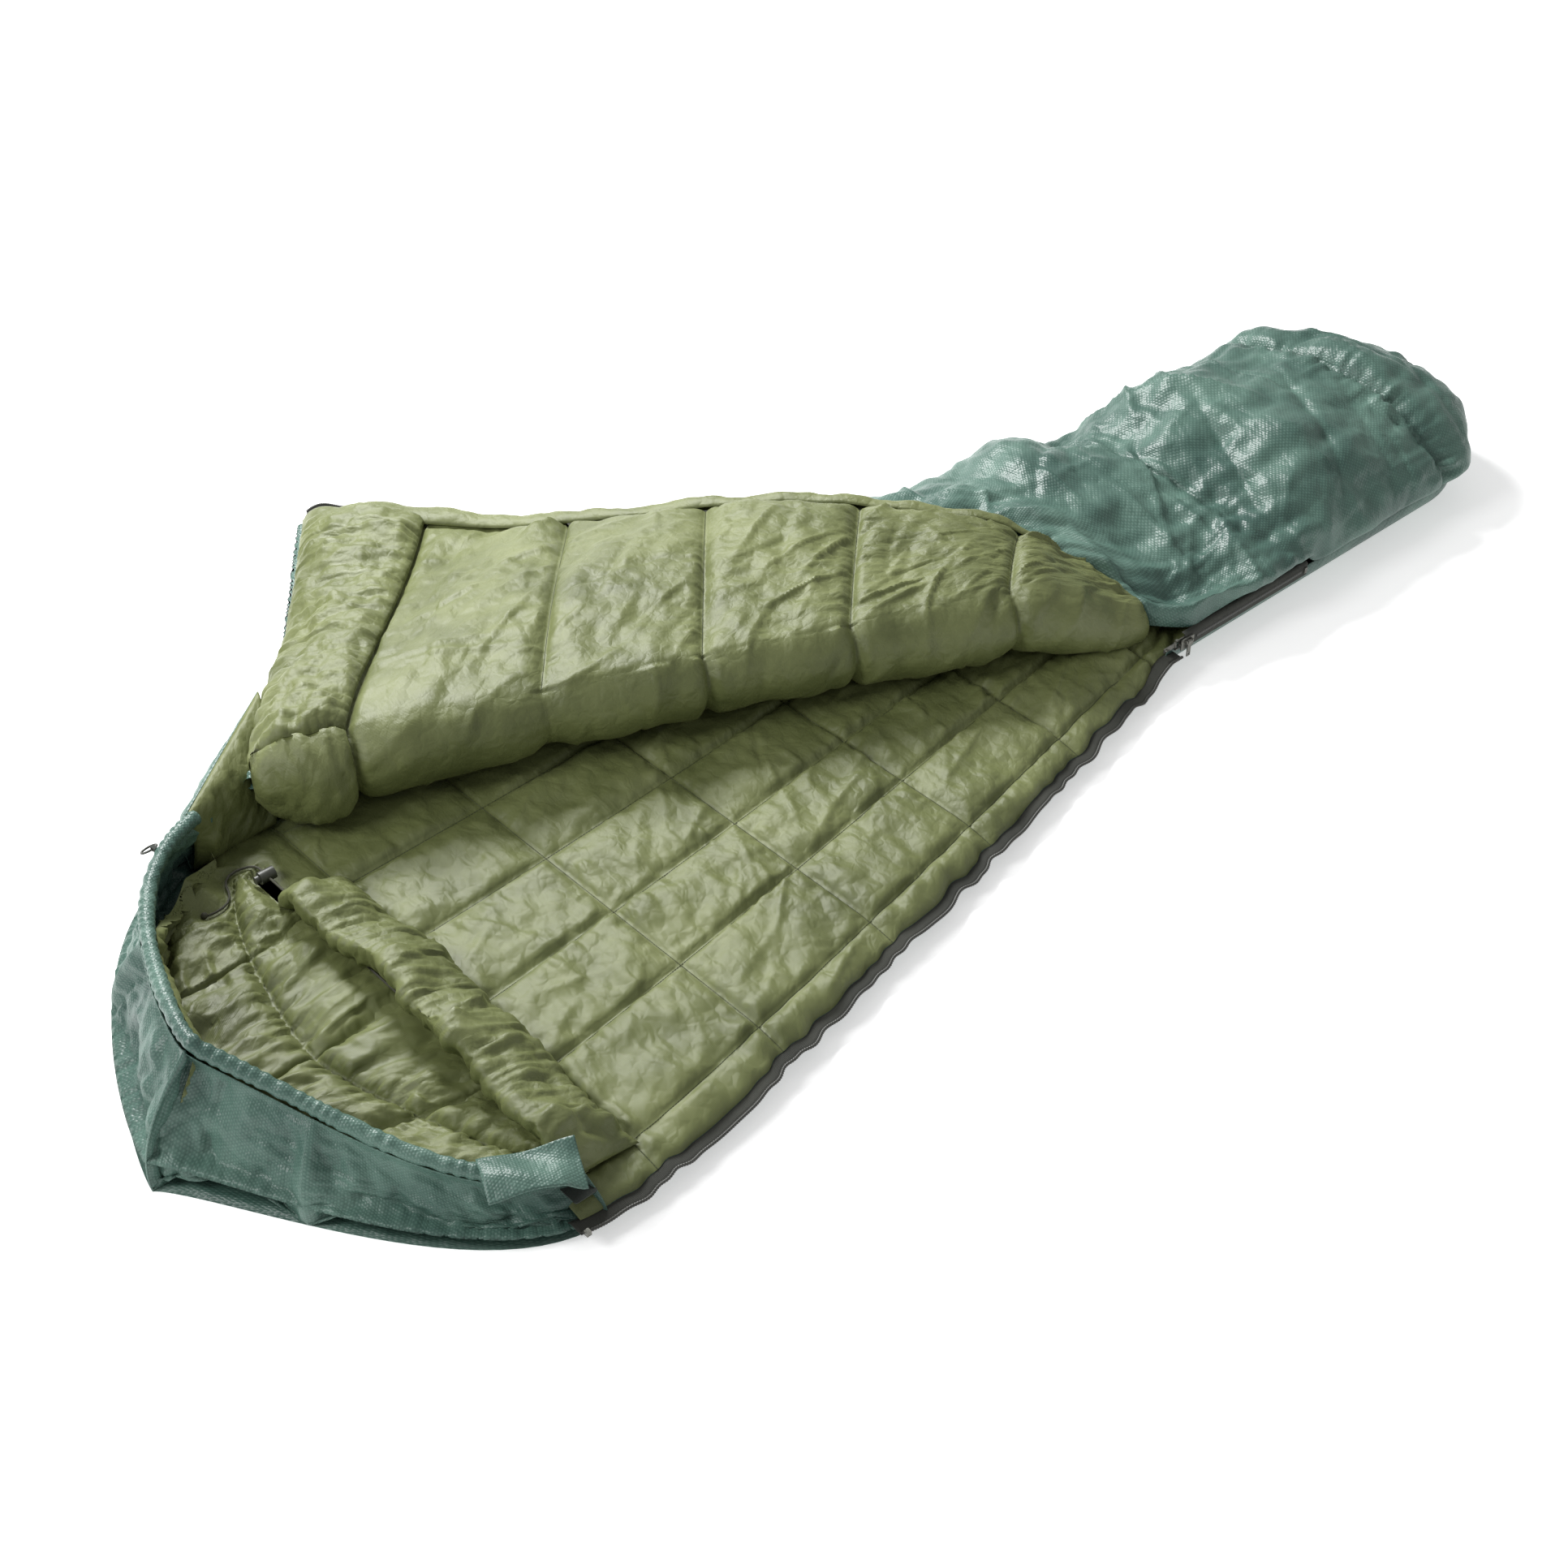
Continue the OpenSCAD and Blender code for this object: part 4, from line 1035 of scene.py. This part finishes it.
# ---- neck ----
BAFFLE_Y = (-0.318, 0.252)  # ends of the neck baffle
TAB_AT, TAB_TURN = np.array([0.226, -0.290]), math.radians(-24)  # the tab's hinge and direction
TAB_L, TAB_W, TAB_Z = 0.104, 0.058, 0.089


def baffle_surface(u, v):
    """From the free gathered edge at the hood's side, up and over to the seam at the foot side."""
    y = lerp(BAFFLE_Y[0], BAFFLE_Y[1], u)
    sway = 0.007 * np.sin(9 * y + 1) + 0.004 * np.sin(31 * y)
    ends = (smooth(u / 0.09) * smooth((1 - u) / 0.09)) ** 0.6
    curl = clamp(v / 0.30)
    fall = clamp((v - 0.30) / 0.70)
    x = 0.344 + sway - 0.024 * np.sin(math.pi * 0.62 * curl) + 0.090 * fall
    crest = 0.004 + 0.048 * ends * (1 + 0.12 * np.sin(17 * y + 2) + 0.10 * np.sin(41 * y))
    z = np.where(v < 0.30, SEAM_Z + 0.012 + crest * np.sin(math.pi / 2 * curl) - 0.004,
                 SEAM_Z + 0.008 + crest * np.cos(math.pi / 2 * fall) ** 0.8 - 0.006 * fall)
    return stack(x, y, z)


def make_neck():
    skin = cloth(baffle_surface, (84, 20), lines, 0.003, (0.24, 0.10), seed=51, flip=-1,
                 grain=(3, 8), noise=0.005,
                 folds=((90, 90, 25, 0.07, 0.005, 0.008),),
                 facets=((0.06, 0.06, 0.006), (0.03, 0.03, 0.0022)))
    piece = put("neck_baffle_gathered", skin, LINING, "bag",
                ("neck_baffle_cover", "neck_baffle_fill"), flip=True)
    u, v = np.meshgrid(np.linspace(0, 1, 40), np.linspace(-0.5, 0.5, 24), indexing="ij")
    run, side = u * TAB_L, v * TAB_W * (1 + 0.04 * np.sin(5 * u))
    z = (TAB_Z + 0.002 + 0.003 * np.sin(7 * u + 3 * v) - 0.010 * u ** 2 * (0.5 - v)
         + 0.004 * np.cos(5 * v + 2 * u) - 0.012 * smooth((u - 0.75) / 0.25) * (0.5 - v))
    x = TAB_AT[0] + run * math.cos(TAB_TURN) - side * math.sin(TAB_TURN)
    y = TAB_AT[1] + run * math.sin(TAB_TURN) + side * math.cos(TAB_TURN)
    tab = put("closure_tab_sewn", stack(x, y, z), SHELL, "tab", ("closure_tab",), thick=0.0022)
    hooks = stack(x, y, z - 0.0032)[17:38, 4:20]
    put("closure_tab_hook_tape", hooks, FASTENER, "tab", ("closure_tab_hooks",), thick=0.0012)


def make_cord():
    """The elastic cord's loose end, along the route that the CAD gives it, in millimetres."""
    points = np.array(CORD_ROUTE) / 1000.0 + np.array([CROWN_X, 0, 0])
    curve = bpy.data.curves.new("neck_cord", "CURVE")
    curve.dimensions = "3D"
    curve.bevel_depth = 0.0015
    curve.bevel_resolution = 4
    line = curve.splines.new("POLY")
    line.points.add(len(points) - 1)
    for spot, point in zip(line.points, points):
        spot.co = (*point, 1)
    cord = add("neck_cord", curve)
    curve.materials.append(CORD)
    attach(cord, "bag")
    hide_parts("neck_cord_tail")


def paint_nodes():
    """Materials for the CAD nodes that stay in sight."""
    for material, names in ((METAL, ("zip_slider", "outer_pull", "inner_pull", "flap_zip_stop",
                                     "back_zip_stop", "zip_end_stop")),
                            (LOCK, ("cord_lock_barrel", "cord_lock_button", "hood_ring")),
                            (CORD, ("hood_drawcord", "neck_drawcord", "neck_cord_knot")),
                            (HOOKS, ("closure_loop_patch", "hood_ring_tab")),
                            (STEEL, ("cord_lock_spring",))):
        for name in names:
            nodes[name].data.materials.clear()
            nodes[name].data.materials.append(material)
    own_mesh(nodes["cord_lock_spring"])


# ---- stage ----
def make_stage():
    floor_mesh = bpy.data.meshes.new("floor")
    floor_mesh.from_pydata([(-30, -30, 0), (30, -30, 0), (30, 30, 0), (-30, 30, 0)], [], [(0, 1, 2, 3)])
    floor = add("floor", floor_mesh)
    pale = Shader("floor_white", 0.9, specular=0.1)
    pale.bsdf.inputs["Base Color"].default_value = (0.90, 0.90, 0.90, 1)
    pale.bsdf.inputs["Emission Color"].default_value = (1, 1, 1, 1)
    pale.bsdf.inputs["Emission Strength"].default_value = 0.45
    floor_mesh.materials.append(pale.material)
    world = bpy.data.worlds.new("studio")
    world.use_nodes = True
    world.node_tree.nodes["Background"].inputs[0].default_value = (1, 1, 1, 1)
    world.node_tree.nodes["Background"].inputs[1].default_value = 0.42
    scene.world = world
    for name, place, aim, size, power in (("key", (0.3, 2.5, 2.3), (0.2, 0.1, 0), 1.0, 160),
                                          ("fill", (-2.6, 0.6, 2.0), (0.3, 0.1, 0), 1.0, 45)):
        lamp = bpy.data.lights.new(name, "AREA")
        lamp.size, lamp.energy = size, power
        light = add(name, lamp)
        light.location = place
        light.rotation_euler = (Vector(aim) - Vector(place)).to_track_quat("-Z", "Y").to_euler()
    camera = add("camera", bpy.data.cameras.new("camera"))
    camera.data.lens, camera.data.sensor_width = CAMERA_LENS, 36.0
    camera.data.dof.use_dof = False
    camera.location = (CAMERA_AT[0] + CROWN_X, CAMERA_AT[1], CAMERA_AT[2])
    down, turn = math.radians(CAMERA_DOWN), math.radians(CAMERA_TURN)
    look = Vector((math.sin(turn) * math.cos(down), math.cos(turn) * math.cos(down), -math.sin(down)))
    camera.rotation_euler = look.to_track_quat("-Z", "Y").to_euler()
    scene.camera = camera


make_stage()
make_cord()
make_back()
make_hood()
make_gusset()
make_leg()
make_flap()
make_zip()
make_neck()
paint_nodes()
